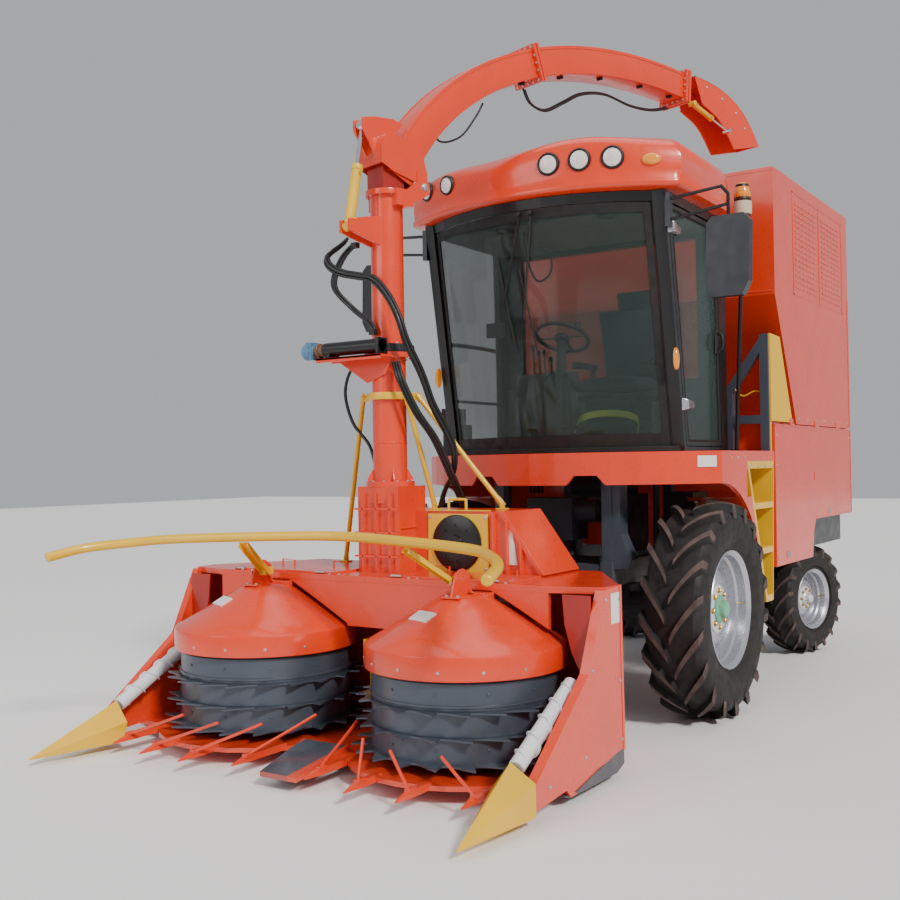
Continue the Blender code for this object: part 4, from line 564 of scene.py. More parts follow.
def rim(name, centre, outward, radius, width, disc_at, turn=0.0, hub=True):
    bead = width / 2 * 0.78
    lip, barrel = radius + 0.020, radius - 0.012
    front = [(0, disc_at + 0.010), (barrel * 0.60, disc_at + 0.010), (barrel * 0.66, disc_at + 0.004),
             (barrel * 0.80, disc_at - 0.030), (barrel * 0.88, disc_at - 0.036), (barrel * 0.955, disc_at - 0.034),
             (barrel * 0.955, disc_at + 0.018), (barrel, disc_at + 0.030), (barrel, bead - 0.010),
             (radius + 0.006, bead + 0.006), (lip - 0.002, bead + 0.013), (lip + 0.002, bead + 0.008),
             (lip, bead + 0.001), (radius - 0.002, bead - 0.004)]
    back = [(radius - 0.002, -bead + 0.004), (lip, -bead - 0.001), (lip + 0.002, -bead - 0.008),
            (lip - 0.002, -bead - 0.013), (radius + 0.004, -bead - 0.010), (barrel, -bead + 0.004),
            (barrel - 0.004, disc_at - 0.050), (barrel * 0.80, disc_at - 0.046), (barrel * 0.62, disc_at - 0.007),
            (0, disc_at - 0.007)]
    facing = 0 if outward > 0 else math.pi
    matrix = Matrix.Translation(Vector(centre)) @ Matrix.Rotation(turn, 4, "Z") @ Matrix.Rotation(facing, 4, "Z")
    dish = turned(front + back, (0, 0, 0), (1, 0, 0), 72)
    piece(name + "_wheel", moved(dish, matrix), name, "rim_paint", replaces=[name + "_rim"], angle=28)
    big = radius / FRONT_RIM
    face = disc_at + 0.010
    disc = turned([(0, face), (0.150 * big, face), (0.150 * big, face + 0.006), (0.140 * big, face + 0.010),
                   (0.10 * big, face + 0.010), (0, face + 0.010)], (0, 0, 0), (1, 0, 0), 48)
    piece(name + "_hub_plate", moved(disc, matrix), name, "hub_white")
    cap = turned([(0, face + 0.004), (0.088 * big, face + 0.004), (0.088 * big, face + 0.022),
                  (0.070 * big, face + 0.034), (0.058 * big, face + 0.036), (0.052 * big, face + 0.060),
                  (0.044 * big, face + 0.066), (0, face + 0.066)], (0, 0, 0), (1, 0, 0), 40)
    piece(name + "_hub_cap", moved(cap, matrix), name, "hub_green" if hub else "hub_white", angle=30)
    nuts = [bolt((face + 0.008, 0.116 * big * math.cos(a), 0.116 * big * math.sin(a)), (1, 0, 0), 0.014 * big, 0.020)
            for a in round_angles(8)]
    small = [bolt((face + 0.034, 0.062 * big * math.cos(a), 0.062 * big * math.sin(a)), (1, 0, 0), 0.006, 0.006)
             for a in round_angles(8, 0.5)]
    valve = rod((disc_at + 0.02, barrel * 0.93, 0), (disc_at + 0.07, barrel * 0.90, 0), 0.005, 8)
    piece(name + "_nuts", moved(merge(*nuts, *small, valve), matrix), name, "brass")


def wheels():
    """The rear wheels stand turned, as the photo shows them parked."""
    steer = math.radians(-PARKED_STEER)
    for side, outward in (("left", 1), ("right", -1)):
        centre = (outward * FRONT_HALF_TRACK, 0, FRONT_RADIUS)
        tyre("front_wheel_" + side, centre, FRONT_RADIUS, FRONT_WIDTH, FRONT_RIM, 0.045)
        rim("front_wheel_" + side, centre, outward, FRONT_RIM, FRONT_WIDTH, 0.055)
        kingpin = Vector((outward * 0.60, WHEELBASE, REAR_RADIUS))
        centre = kingpin + Matrix.Rotation(steer, 3, "Z") @ Vector((outward * 0.20, 0, 0))
        tyre("rear_wheel_" + side, centre, REAR_RADIUS, REAR_WIDTH, REAR_RIM, 0.028, steer)
        rim("rear_wheel_" + side, centre, outward, REAR_RIM, REAR_WIDTH, 0.020, steer, hub=False)


# ---------------------------------------------------------------- header
COVER_RADIUS, COVER_LOW, COVER_TOP = 0.536, 0.572, 0.93
APRON_Y = -1.7503
HEADER_HALF = 1.46
DECK_TOP = 0.99


def covers():
    for side, x in DRUM_X.items():
        band = COVER_LOW + 0.123
        slope = (COVER_TOP - band) / (COVER_RADIUS - 0.12)
        low, edge = COVER_LOW, COVER_RADIUS
        profile = [(0, low + 0.012), (edge - 0.012, low + 0.012), (edge - 0.012, low), (edge - 0.002, low),
                   (edge, low + 0.004), (edge, band - 0.014), (edge - 0.003, band - 0.004),
                   (edge - 0.014, band + 0.006)]
        profile += [(edge - 0.014 - t, band + 0.006 + t * slope) for t in (0.10, 0.20, 0.30)]
        profile += [(0.135, COVER_TOP - 0.006), (0.118, COVER_TOP), (0, COVER_TOP)]
        cone = turned(profile, (x, DRUM_Y, 0), sides=128)
        # The arm box that ties the cover to the apron, with its fan plate on top.
        arm = prism([(DRUM_Y + 0.02, COVER_TOP - 0.10), (DRUM_Y + 0.02, COVER_TOP + 0.012),
                     (APRON_Y, COVER_TOP + 0.014), (APRON_Y, COVER_TOP - 0.16)], "X", x - 0.13, x + 0.13)
        foot = around(x, DRUM_Y - 0.04, COVER_TOP + 0.001, 0.055, 0.105, 0.005)
        fan_line = ((-0.13, COVER_TOP), (0.05, COVER_TOP), (0.05, 1.02), (0.048, 1.035), (0.0, 1.068), (-0.02, 1.073),
                    (-0.05, 1.068), (-0.09, 1.05))
        fans = prism([(DRUM_Y + y, z) for y, z in fan_line], "X", x - 0.006, x + 0.006)
        gusset = prism([(x - 0.05, COVER_TOP), (x + 0.05, COVER_TOP), (x + 0.008, COVER_TOP + 0.05),
                        (x - 0.008, COVER_TOP + 0.05)], "Y", DRUM_Y + 0.02, DRUM_Y + 0.028)
        piece(f"cover_{side}_shell", [cone, arm, foot, fans, gusset], "header", "header_paint",
              replaces=[f"drum_cover_{side}"], angle=24, bevel=0.002)
        bolts = [bolt_row((x - 0.012, DRUM_Y - 0.10, 1.0), (x - 0.012, DRUM_Y + 0.02, 1.045), 3, (-1, 0, 0), 0.008)]
        bolts += [bolt((x + dx, DRUM_Y + dy, COVER_TOP + 0.006), (0, 0, 1), 0.009) for dx in (-0.035, 0.035)
                  for dy in (-0.12, 0.04)]
        ring = [math.radians(a) for a in range(-168, 0, 24)]
        bolts += [bolt((x + COVER_RADIUS * math.cos(a), DRUM_Y + COVER_RADIUS * math.sin(a), COVER_LOW + 0.045),
                       (math.cos(a), math.sin(a), 0), 0.006, 0.004) for a in ring]
        piece(f"cover_{side}_bolts", bolts, "header", "zinc")
        # A blank label plate on the cone's front.
        a = math.radians(-112 if side == "left" else -118)
        out = Vector((math.cos(a), math.sin(a), 0))
        tangent = Vector((-math.sin(a), math.cos(a), 0))
        fall = Vector((out.x, out.y, -slope)).normalized()
        normal = tangent.cross(fall).normalized()
        normal = normal if normal.z > 0 else -normal
        reach = 0.27
        height = band + 0.006 + (COVER_RADIUS - 0.014 - reach) * slope
        middle = Vector((x, DRUM_Y, 0)) + out * reach + Vector((0, 0, height))
        corners = quad(-0.078, 0.078, -0.040, 0.040)
        label = [[middle + tangent * a1 + fall * b1 + normal * lift for a1, b1 in corners]
                 for lift in (-0.010, 0.0022)]
        piece(f"cover_{side}_label", loft(label), "header", "label_white")


def saw_ring(z, thickness, tip, turn):
    """A ring of curved, hooked teeth round a drum's axis."""
    inside, root, teeth = 0.47, 0.520, 20
    outline = []
    for i in range(teeth):
        a = 2 * math.pi * i / teeth + turn
        step = 2 * math.pi / teeth
        for k in range(6):
            t = k / 6
            outline.append((a + step * t * 0.80, root + (tip - root) * (t**1.7)))
        outline.append((a + step * 0.864, tip))
        outline.append((a + step * 0.86, root + (tip - root) * 0.45))
        outline.append((a + step * 0.90, root + (tip - root) * 0.05))
    outer = [(r * math.cos(a), DRUM_Y + r * math.sin(a)) for a, r in outline]
    inner = [(inside * math.cos(a), DRUM_Y + inside * math.sin(a)) for a, r in outline]
    levels = ((inner, z), (outer, z), (outer, z + thickness), (inner, z + thickness))
    return loft([[(x, y, level) for x, y in line] for line, level in levels], closed=True)


def drums():
    for side, x in DRUM_X.items():
        sign = 1 if side == "left" else -1
        low, high = 0.145, 0.566
        profile = [(0, low), (0.480, low), (0.500, low + 0.012), (0.500, 0.285), (0.497, 0.286), (0.497, 0.300),
                   (0.500, 0.301), (0.500, 0.410), (0.497, 0.411), (0.497, 0.426), (0.500, 0.427), (0.500, 0.440),
                   (0.508, 0.442), (0.508, 0.452), (0.500, 0.454), (0.500, high - 0.010), (0.494, high), (0, high)]
        shapes = [turned(profile, (x, DRUM_Y, 0), sides=112)]
        for z, tip, thick in ((0.415, 0.583, 0.008), (0.290, 0.583, 0.008), (0.160, 0.609, 0.010)):
            ring = saw_ring(z, thick, tip, turn=z * 2.3)
            ring = ([Vector((x + sign * p.x, p.y, p.z)) for p in ring[0]], ring[1])
            shapes.append(ring)
        piece(f"drum_{side}_body", shapes, f"drum_{side}", "drum_paint", replaces=[f"drum_{side}"], angle=30)
        studs = [bolt((x + 0.5 * math.cos(a), DRUM_Y + 0.5 * math.sin(a), z), (math.cos(a), math.sin(a), 0), 0.007,
                      0.005) for z in (0.236, 0.505) for a in round_angles(12, 0.5)]
        piece(f"drum_{side}_studs", studs, f"drum_{side}", "drum_paint")


def rollers():
    for side, sign in (("left", 1), ("right", -1)):
        x = HEADER_X + sign * 1.345
        head, foot = Vector((x, -1.86, 0.53)), Vector((x, -2.42, 0.245))
        axis = (foot - head).normalized()
        length = (foot - head).length
        core = turned([(0, 0), (0.034, 0), (0.040, 0.006), (0.040, length - 0.006), (0.034, length), (0, length)],
                      head, axis, 48)
        cross, up = across(axis)
        turns, steps = 4.5, 150
        loops = []
        for i in range(steps + 1):
            t = i / steps
            a = sign * 2 * math.pi * turns * t
            out = math.cos(a) * cross + math.sin(a) * up
            middle = head + axis * (0.03 + (length - 0.06) * t)
            taper = min(1.0, 12 * t, 12 * (1 - t))
            high = 0.041 + 0.0100 * taper
            section = ((0.036, -0.006), (high, -0.0035), (high, 0.0035), (0.036, 0.006))
            loops.append([middle + out * r + axis * d for r, d in section])
        piece(f"roller_{side}_spiral", [core, loft(loops)], f"roller_{side}", "white_paint",
              replaces=[f"roller_{side}"], angle=40)


def header_details():
    # Deflector rods over the fingers.
    tips = ((-1.566, -2.600), (-1.252, -2.680), (-0.950, -2.685), (-0.640, -2.610), (-0.145, -2.605), (0.163, -2.685),
            (0.463, -2.685), (0.772, -2.605))
    tails = ((-1.149, -2.473), (-0.84, -2.513), (-0.616, -2.412), (-0.504, -2.104), (-0.208, -2.117), (0.05, -2.397),
             (0.304, -2.514), (0.576, -2.481))
    rods, feet = [], []
    for (tx, ty), (rx, ry) in zip(tips, tails):
        start = Vector((tx, ty + 0.10, 0.108))
        end = Vector((rx, ry, 0.262))
        route = smooth_route([start, start.lerp(end, 0.12) + Vector((0, 0, 0.004)), start.lerp(end, 0.6), end], 5)
        rods.append(sweep(route, 0.0085, 10))
        feet.append(around(tx, ty + 0.115, 0.113, 0.016, 0.030, 0.010))
    piece("deflector_rods", rods + feet, "header", "red_paint", bevel=0.002)
    # Bolts, hinges and small handles on the deck.
    z = DECK_TOP
    metal = []
    for x in (-0.70, -0.63, -0.13, -0.07, 0.42, 0.50, -1.40, -1.32):
        metal.append(bolt((x, -1.735, z), (0, 0, 1), 0.007))
    for x0 in (-0.22, 0.42, -1.42, -0.78):
        metal.append(rod((x0 - 0.035, -1.728, z + 0.010), (x0 + 0.035, -1.728, z + 0.010), 0.008, 12))
    piece("deck_hinges", metal, "header", "zinc")
    for x in (-0.10, 0.35, -0.86, -1.28):
        side = "left" if x > -0.5 else "right"
        hoop = [(x + dx, -1.44, z + dz) for dx, dz in ((-0.05, 0.012), (-0.05, 0.045), (0.05, 0.045), (0.05, 0.012))]
        piece(f"lid_handle_{side}_{abs(int(x * 100))}", sweep(hoop, 0.006, 8), f"deck_lid_{side}", "red_paint")
    # Stiffening folds along the apron and the side panels' edges.
    strips = [box((HEADER_X - 1.15, -1.7512, 0.955), (HEADER_X + 1.15, -1.7470, 0.990))]
    for sign in (1, -1):
        x = HEADER_X + sign * HEADER_HALF
        a, b = sorted((x - sign * 0.001, x + sign * 0.0035))
        rear = [(-1.498, 0.137), (-1.516, 0.990), (-1.540, 0.990), (-1.522, 0.139)]
        strips.append(prism(rear, "X", a, b))
    piece("header_folds", strips, "header", "red_paint", bevel=0.001)
    dots = []
    x = HEADER_X + HEADER_HALF
    for y, zz in ((-1.56, 0.92), (-1.55, 0.50), (-1.54, 0.20), (-1.95, 0.20), (-2.32, 0.15), (-1.70, 0.93),
                  (-1.86, 0.60)):
        dots.append(bolt((x, y, zz), (1, 0, 0), 0.008))
        dots.append(bolt((HEADER_X - HEADER_HALF, y, zz), (-1, 0, 0), 0.008))
    piece("panel_bolts", dots, "header", "zinc")
    label = box((x - 0.001, -1.640, 0.80), (x + 0.0025, -1.545, 0.955))
    piece("panel_label", label, "header", "label_white", bevel=0.0008)
    # Skid shoes, and the yellow feed gearbox between the drums.
    shoes, shields, skids = [], [], []
    for sign in (1, -1):
        a, b = sorted((HEADER_X + sign * 1.37, HEADER_X + sign * 1.448))
        shoes.append(prism([(-2.16, 0.06), (-2.10, 0.040), (-1.70, 0.036), (-1.54, 0.066), (-1.54, 0.078),
                            (-1.70, 0.052), (-2.10, 0.056)], "X", a, b))
    piece("skid_shoes", shoes, "header", "blue_grey_paint", bevel=0.002)
    gear = [around(HEADER_X, -1.70, 0.56, 0.045, 0.05, 0.07),
            rod((HEADER_X, -1.70, 0.30), (HEADER_X, -1.70, 0.50), 0.03, 20)]
    gear.append(bolt_ring((HEADER_X, -1.751, 0.56), (0, -1, 0), 0.03, 6, 0.006))
    piece("feed_gearbox", gear, "header", "yellow_paint", bevel=0.006, segments=3)
    for sign in (1, -1):
        outline = [(HEADER_X + sign * d, z) for d, z in ((1.250, 0.954), (1.409, 0.954), (1.409, 0.50), (1.380, 0.50),
                                                         (1.300, 0.66), (1.262, 0.80))]
        shields.append(prism(outline, "Y", -1.772, -1.760))
        a, b = sorted((HEADER_X + sign * 1.385, HEADER_X + sign * 1.4615))
        skids.append(prism([(-2.06, 0.060), (-2.02, 0.045), (-1.60, 0.040), (-1.51, 0.070), (-1.51, 0.150),
                            (-1.62, 0.140)], "X", a, b))
    # Painted shade: these shields sit in the recess under the deck and take the darkened red.
    piece("inner_shields", shields, "header", "painted_shade_red", bevel=0.002)
    piece("skid_wedges", skids, "header", "blue_grey_paint", bevel=0.003)
    for sign, side in ((1, "left"), (-1, "right")):
        bolts = [bolt((HEADER_X + sign * a, -2.47, b), (0, 0.3, 1), 0.006) for a, b in ((1.30, 0.20), (1.43, 0.16))]
        piece(f"divider_{side}_bolts", bolts, "header", "zinc")


GUIDE_BAR = [(0.0, -2.05, 1.24), (0.5, -2.145, 1.232), (1.01, -2.28, 1.215), (1.22, -2.42, 1.198),
             (1.385, -2.62, 1.175), (1.45, -2.82, 1.135)]


def guide_bar():
    left = [(HEADER_X + x, y, z) for x, y, z in GUIDE_BAR]
    right = [(HEADER_X - x, y, z) for x, y, z in reversed(GUIDE_BAR[1:])]
    route = smooth_route(right + left, 8)
    first, last = (route[0] - route[1]).normalized(), (route[-1] - route[-2]).normalized()
    ends = [route[0] + first * 0.008] + route + [route[-1] + last * 0.008]
    sizes = [0.018] + [0.0272] * len(route) + [0.018]
    shapes = [sweep(ends, sizes, 24)]
    for sign, side in ((1, "left"), (-1, "right")):
        x = DRUM_X[side]
        start = Vector((HEADER_X + sign * 0.57, -2.168, 1.196))
        end = Vector((x - sign * 0.036, DRUM_Y - 0.03, 1.0))
        direction = (end - start).normalized()
        cross, up = across(direction)
        # A channel: a web with two flanges.
        shapes.append(loft([[p + cross * a + up * b for a, b in quad(-0.028, 0.028, 0, 0.006)]
                            for p in (start, end)]))
        for a in (-0.028, 0.023):
            shapes.append(loft([[p + cross * (a + c) + up * d for c, d in quad(0, 0.005, -0.024, 0.006)]
                                for p in (start, end)]))
        low, high = sorted((x - sign * 0.0065, x - sign * 0.058))
        shapes.append(box((low, DRUM_Y - 0.065, 0.986), (high, DRUM_Y + 0.005, 1.030)))
    piece("guide_bar_tube", shapes, "header", "yellow_paint", replaces=["guide_bar"], angle=40, bevel=0.0015)


# ---------------------------------------------------------------- chopper, column and spout
def chopper_details():
    y = -1.35
    front = [(-0.255, 0.995), (0.170, 0.995), (0.165, 1.335), (-0.250, 1.335)]
    piece("chopper_panel", prism(front, "Y", y - 0.010, y - 0.0005), "header", "yellow_paint", bevel=0.003)
    disc = turned([(0, 0), (0.165, 0), (0.165, 0.012), (0.15, 0.020), (0.05, 0.020), (0.045, 0.034), (0, 0.036)],
                  (-0.045, y - 0.010, 1.165), (0, -1, 0), 56)
    piece("chopper_disc", [disc, bolt_ring((-0.045, y - 0.028, 1.165), (0, -1, 0), 0.105, 8, 0.008)], "header",
          "black_paint")
    handle = sweep(smooth_route([(-0.12, y + 0.02, 1.352), (-0.12, y + 0.02, 1.405), (-0.11, y + 0.02, 1.418),
                                 (-0.01, y + 0.02, 1.418), (0.0, y + 0.02, 1.405), (0.0, y + 0.02, 1.352)], 4), 0.008,
                   10)
    lip = around(-0.045, y + 0.018, 1.354, 0.20, 0.026, 0.003)
    piece("chopper_handle", [handle, lip], "header", "yellow_paint", bevel=0.001)
    ribs = []
    for x in (0.20, 0.29, 0.38):
        top = 1.35 - max(0, (x - 0.26)) * 1.37
        ribs.append(prism([(x, 0.992), (x + 0.012, 0.992), (x + 0.012, top - 0.02), (x, top)], "Y", y - 0.030,
                          y + 0.001))
    ribs.append(prism([(0.235, 1.352), (0.275, 1.352), (0.530, 0.999), (0.500, 0.999)], "Y", y - 0.016, -0.93))
    ribs += [box((-0.660, -1.5465, z), (-0.340, -1.5385, z + 0.012)) for z in (1.08, 1.22, 1.36)]
    ribs += [box((x - 0.006, -1.5465, 1.0), (x + 0.006, -1.5385, 1.46)) for x in (-0.60, -0.50, -0.40)]
    ribs += [box((-0.3495, -1.50, z), (-0.340, -1.26, z + 0.010)) for z in (1.10, 1.25)]
    piece("chopper_ribs", ribs, "header", "red_paint", bevel=0.0015)
    label = prism([(0.30, 1.05), (0.355, 1.05), (0.32, 1.26), (0.30, 1.26)], "Y", y - 0.006, y - 0.0005)
    piece("chopper_label", label, "header", "label_white")
    bolts = [bolt_row((-0.235, y - 0.010, 1.02), (0.15, y - 0.010, 1.02), 3, (0, -1, 0), 0.007),
             bolt_row((-0.235, y - 0.010, 1.315), (0.15, y - 0.010, 1.315), 3, (0, -1, 0), 0.007)]
    x, yy = COLUMN
    bolts.append(bolt_ring((x, yy, 1.528), (0, 0, 1), 0.126, 10, 0.009))
    bolts.append(bolt_ring((x, yy, 2.270), (0, 0, -1), 0.130, 10, 0.008))
    piece("column_bolts", bolts, "header", "zinc")
    flat = turned([(0.0925, 1.5285), (0.1465, 1.5285), (0.1465, 1.498), (0.143, 1.494), (0.0925, 1.494)], (x, yy, 0),
                  sides=64)
    tube = turned(quad(0.0925, 0.1028, 1.52, 2.272), (x, yy, 0), sides=64)
    seam = turned([(0.101, 1.754), (0.1055, 1.757), (0.1055, 1.763), (0.101, 1.766)], (x, yy, 0), sides=64)
    gussets = []
    for k in range(4):
        a = math.pi / 4 + k * math.pi / 2
        out = Vector((math.cos(a), math.sin(a), 0))
        side = Vector((-math.sin(a), math.cos(a), 0)) * 0.004
        base = Vector((x, yy, 0))
        outline = [(0.098, 1.53), (0.140, 1.53), (0.140, 1.545), (0.108, 1.60), (0.098, 1.60)]
        gussets.append(loft([[base + out * r + Vector((0, 0, z)) + off for r, z in outline]
                             for off in (-side, side)]))
    shelf = box((x - 0.362, yy - 0.102, 2.2565), (x - 0.10, yy + 0.102, 2.279))
    piece("column_tube", [tube, flat, seam] + gussets + [shelf], "header", "red_paint", bevel=0.001)


def slew_drive():
    x, y = COLUMN
    z = 2.325
    shapes = [rod((x - 0.33, y - 0.200, z + 0.004), (x + 0.105, y - 0.200, z + 0.004), 0.042, 36, 0.004),
              around(x - 0.29, y - 0.185, z - 0.012, 0.020, 0.05, 0.036),
              around(x + 0.095, y - 0.200, z + 0.002, 0.010, 0.046, 0.048)]
    shelf = [box((x - 0.362, y - 0.252, 2.262), (x + 0.125, y - 0.105, 2.276)),
             box((x - 0.362, y - 0.252, 2.248), (x + 0.125, y - 0.244, 2.276)),
             prism([(x - 0.30, 2.262), (x + 0.10, 2.262), (x + 0.06, 2.17), (x - 0.08, 2.12)], "Y", y - 0.112,
                   y - 0.104)]
    piece("slew_shelf", shelf, "header", "red_paint", bevel=0.0015)
    under = bolt_row((x - 0.33, y - 0.225, 2.262), (x + 0.09, y - 0.225, 2.262), 5, (0, 0, -1), 0.009)
    piece("shelf_bolts", under, "header", "zinc")
    piece("slew_worm", shapes, "header", "black_paint", replaces=["slew_drive"], bevel=0.003)
    brown = [rod((x - 0.400, y - 0.20, z), (x - 0.325, y - 0.20, z), 0.036, 24, 0.003),
             rod((x - 0.375, y - 0.20, z), (x - 0.362, y - 0.20, z), 0.047, 24, 0.002)]
    piece("slew_coupling", brown, "header", "bronze_paint")
    motor = [rod((x - 0.485, y - 0.20, z), (x - 0.395, y - 0.20, z), 0.050, 32, 0.008),
             around(x - 0.44, y - 0.20, z + 0.044, 0.026, 0.026, 0.014),
             around(x - 0.405, y - 0.20, z, 0.006, 0.056, 0.054)]
    piece("slew_motor", motor, "header", "blue_motor", bevel=0.003)
    ring = turned([(0.149, 2.301), (0.1535, 2.304), (0.1535, 2.346), (0.149, 2.349)], (x, y, 0), sides=72)
    teeth = [moved(box((0.150, -0.006, 2.308), (0.1565, 0.006, 2.342)), Matrix.Translation((x, y, 0))
                   @ Matrix.Rotation(2 * math.pi * k / 48, 4, "Z")) for k in range(48)]
    piece("slew_ring", [ring] + teeth, "turret", "cast_iron")
    piece("slew_bolts", bolt_ring((x, y, 2.352), (0, 0, 1), 0.128, 12, 0.008), "turret", "zinc")


def struts():
    x, y = COLUMN
    shapes = [turned([(0.1035, 2.018), (0.126, 2.018), (0.128, 2.022), (0.128, 2.058), (0.126, 2.062),
                      (0.1035, 2.062)], (x, y, 0), sides=64)]
    feet = (((-0.69, -1.40, 2.05), (-1.15, -1.02, 0.99)), ((-0.345, -1.43, 2.03), (-0.31, -1.20, 1.35)),
            ((-0.36, -1.30, 2.05), (0.11, -1.10, 1.35)))
    bolts = []
    for top, foot in feet:
        top, foot = Vector(top), Vector(foot)
        direction = (Vector((top.x - x, top.y - y, 0))).normalized()
        root = Vector((x, y, 2.04)) + direction * 0.118
        shapes.append(bar(root, (top.x, top.y, 2.04), 0.012, 0.045))
        low = foot + Vector((0, 0, 0.030))
        shapes.append(rod(low, top, 0.0155, 20, 0.003))
        for end, other in ((low, top), (top, low)):
            step = (other - end).normalized()
            shapes.append(bar(end - step * 0.012, end + step * 0.05, 0.010, 0.038))
            side, _ = across(step)
            bolts.append(bolt(end + step * 0.005 + side * 0.006, side, 0.008))
        shapes.append(around(foot.x, foot.y, foot.z + 0.005, 0.030, 0.030, 0.0045))
        shapes.append(around(foot.x, foot.y, foot.z + 0.022, 0.006, 0.022, 0.020))
    piece("strut_tubes", shapes, "header", "yellow_paint", replaces=["column_struts"], bevel=0.0015, angle=40)
    piece("strut_bolts", bolts, "header", "zinc")


DUCT_CURVE = ((0.03, 3.33), (0.35, 4.15), (1.55, 4.62), (2.90, 4.50))


def duct_point(t):
    a, b, c, d = (Vector(p) for p in DUCT_CURVE)
    u = 1 - t
    point = a * u**3 + b * 3 * u * u * t + c * 3 * u * t * t + d * t**3
    slope = (b - a) * 3 * u * u + (c - b) * 6 * u * t + (d - c) * 3 * t * t
    return point, slope.normalized()


def duct_up(t):
    """The point at t with the direction along the duct and the one across its roof."""
    point, direction = duct_point(t)
    return point, direction, Vector((-direction.y, direction.x))


def duct_section(t, half_w, half_h, round_corner=0.0):
    point, _, up = duct_up(t)
    corners = []
    if round_corner:
        r = round_corner
        for i, (a, b) in enumerate(((1, -1), (1, 1), (-1, 1), (-1, -1))):
            corners += arc((a * (half_w - r), b * (half_h - r)), r, 90 * i - 90, 90 * i, 4)
    else:
        corners = [(half_w, -half_h), (half_w, half_h), (-half_w, half_h), (-half_w, -half_h)]
    return [along_spout(point.x + up.x * b, point.y + up.y * b, a) for a, b in corners]


def plate(outline, inner, outer):
    """A flat plate in the spout's plane, from one distance beside it to another."""
    return loft([[along_spout(s, z, a) for s, z in outline] for a in (inner, outer)])


def spout():
    half_w, half_h, wall = 0.10, 0.095, 0.006
    steps = 64
    outer = [duct_section(i / steps, half_w, half_h, 0.006) for i in range(steps + 1)]
    inner = [duct_section(i / steps, half_w - wall, half_h - wall, 0.004) for i in range(steps + 1)]
    loops = outer + inner[::-1]
    shapes = [loft(loops, closed=True)]
    # Flanges: each a pair of plates bolted together.
    bolts = []
    for t in (0.545, 0.985):
        for offset in (-0.0042, 0.0042):
            a, b = t + offset - 0.0032, t + offset + 0.0032
            ring_out = [duct_section(v, half_w + 0.030, half_h + 0.030) for v in (a, b)]
            ring_in = [duct_section(v, half_w - 0.001, half_h - 0.001) for v in (b, a)]
            shapes.append(loft(ring_out + ring_in, closed=True))
        point, direction, up = duct_up(t - 0.0075)
        back = along_spout(point.x - direction.x, point.y - direction.y) - along_spout(point.x, point.y)
        places = [(i * 0.05, s * (half_h + 0.015)) for i in (-2, -1, 0, 1, 2) for s in (-1, 1)]
        places += [(s * (half_w + 0.015), i * 0.05) for i in (-1, 0, 1) for s in (-1, 1)]
        for a, b in places:
            bolts.append(bolt(along_spout(point.x + up.x * b, point.y + up.y * b, a), back, 0.007))
    # Folded stiffeners along the two upper edges, and the base hood with its lever.
    for side in (-1, 1):
        edge = []
        for i in range(steps + 1):
            point, direction, up = duct_up(i / steps * 0.975)
            edge.append([along_spout(point.x + up.x * (half_h + b), point.y + up.y * (half_h + b),
                                     side * (half_w + a)) for a, b in quad(-0.004, 0.0035, -0.018, 0.0025)])
        shapes.append(loft(edge))
    hood = [(-0.115, 3.405), (0.215, 3.325), (0.235, 3.40), (0.20, 3.52), (-0.02, 3.62), (-0.085, 3.60),
            (-0.115, 3.52)]
    ear = [(0.15, 3.412), (0.15, 3.282), (0.22, 3.282), (0.23, 3.412)]
    lever = [(-0.205, 3.69), (-0.205, 3.63), (-0.10, 3.46), (-0.02, 3.58), (0.10, 3.70), (0.02, 3.72), (-0.12, 3.71)]
    for side in (-1, 1):
        for outline, inner, outer in ((hood, 0.106, 0.1125), (ear, 0.104, 0.120), (lever, 0.036, 0.051)):
            shapes.append(plate(outline, *sorted((side * inner, side * outer))))
    back = [(-0.115, 3.405), (-0.109, 3.402), (-0.109, 3.52), (-0.080, 3.595), (-0.02, 3.614), (-0.02, 3.62),
            (-0.085, 3.60), (-0.115, 3.52)]
    shapes.append(plate(back, -0.110, 0.110))
    obj = piece("spout_shell", shapes, "spout", "red_paint", replaces=["spout_duct"], angle=30, bevel=0.0008)
    # The base's slanted underside, clear of the column's head when the spout is tilted right up.
    tilt = math.radians(SPOUT_TILT_MOST)
    normal = along_spout(math.sin(tilt), 0) - along_spout(0, 0) + Vector((0, 0, math.cos(tilt)))
    pin_s, pin_z, base_z = 0.185, 3.312, 3.287
    on_plane = along_spout(pin_s, pin_z + (base_z - pin_z) / math.cos(tilt)) + SHIFT
    bm = bmesh.new()
    bm.from_mesh(obj.data)
    bmesh.ops.bisect_plane(bm, geom=bm.verts[:] + bm.edges[:] + bm.faces[:], plane_co=on_plane, plane_no=normal,
                           clear_inner=True)
    bm.to_mesh(obj.data)
    bm.free()
    for side in (-1, 1):
        bolts.append(bolt(along_spout(pin_s, pin_z, side * 0.142), along_spout(0, 0, side) - along_spout(0, 0, 0),
                          0.018, 0.012))
    piece("spout_bolts", bolts, "spout", "zinc")
    # Clips for the hoses under the arch.
    clips = []
    for t in (0.50, 0.62, 0.74, 0.86, 0.95):
        point, direction, up = duct_up(t)
        middle = along_spout(point.x - up.x * (half_h + 0.008), point.y - up.y * (half_h + 0.008), 0.05)
        clips.append(around(middle.x, middle.y, middle.z, 0.022, 0.010, 0.010))
    piece("hose_clips", clips, "spout", "black_plastic", bevel=0.002)


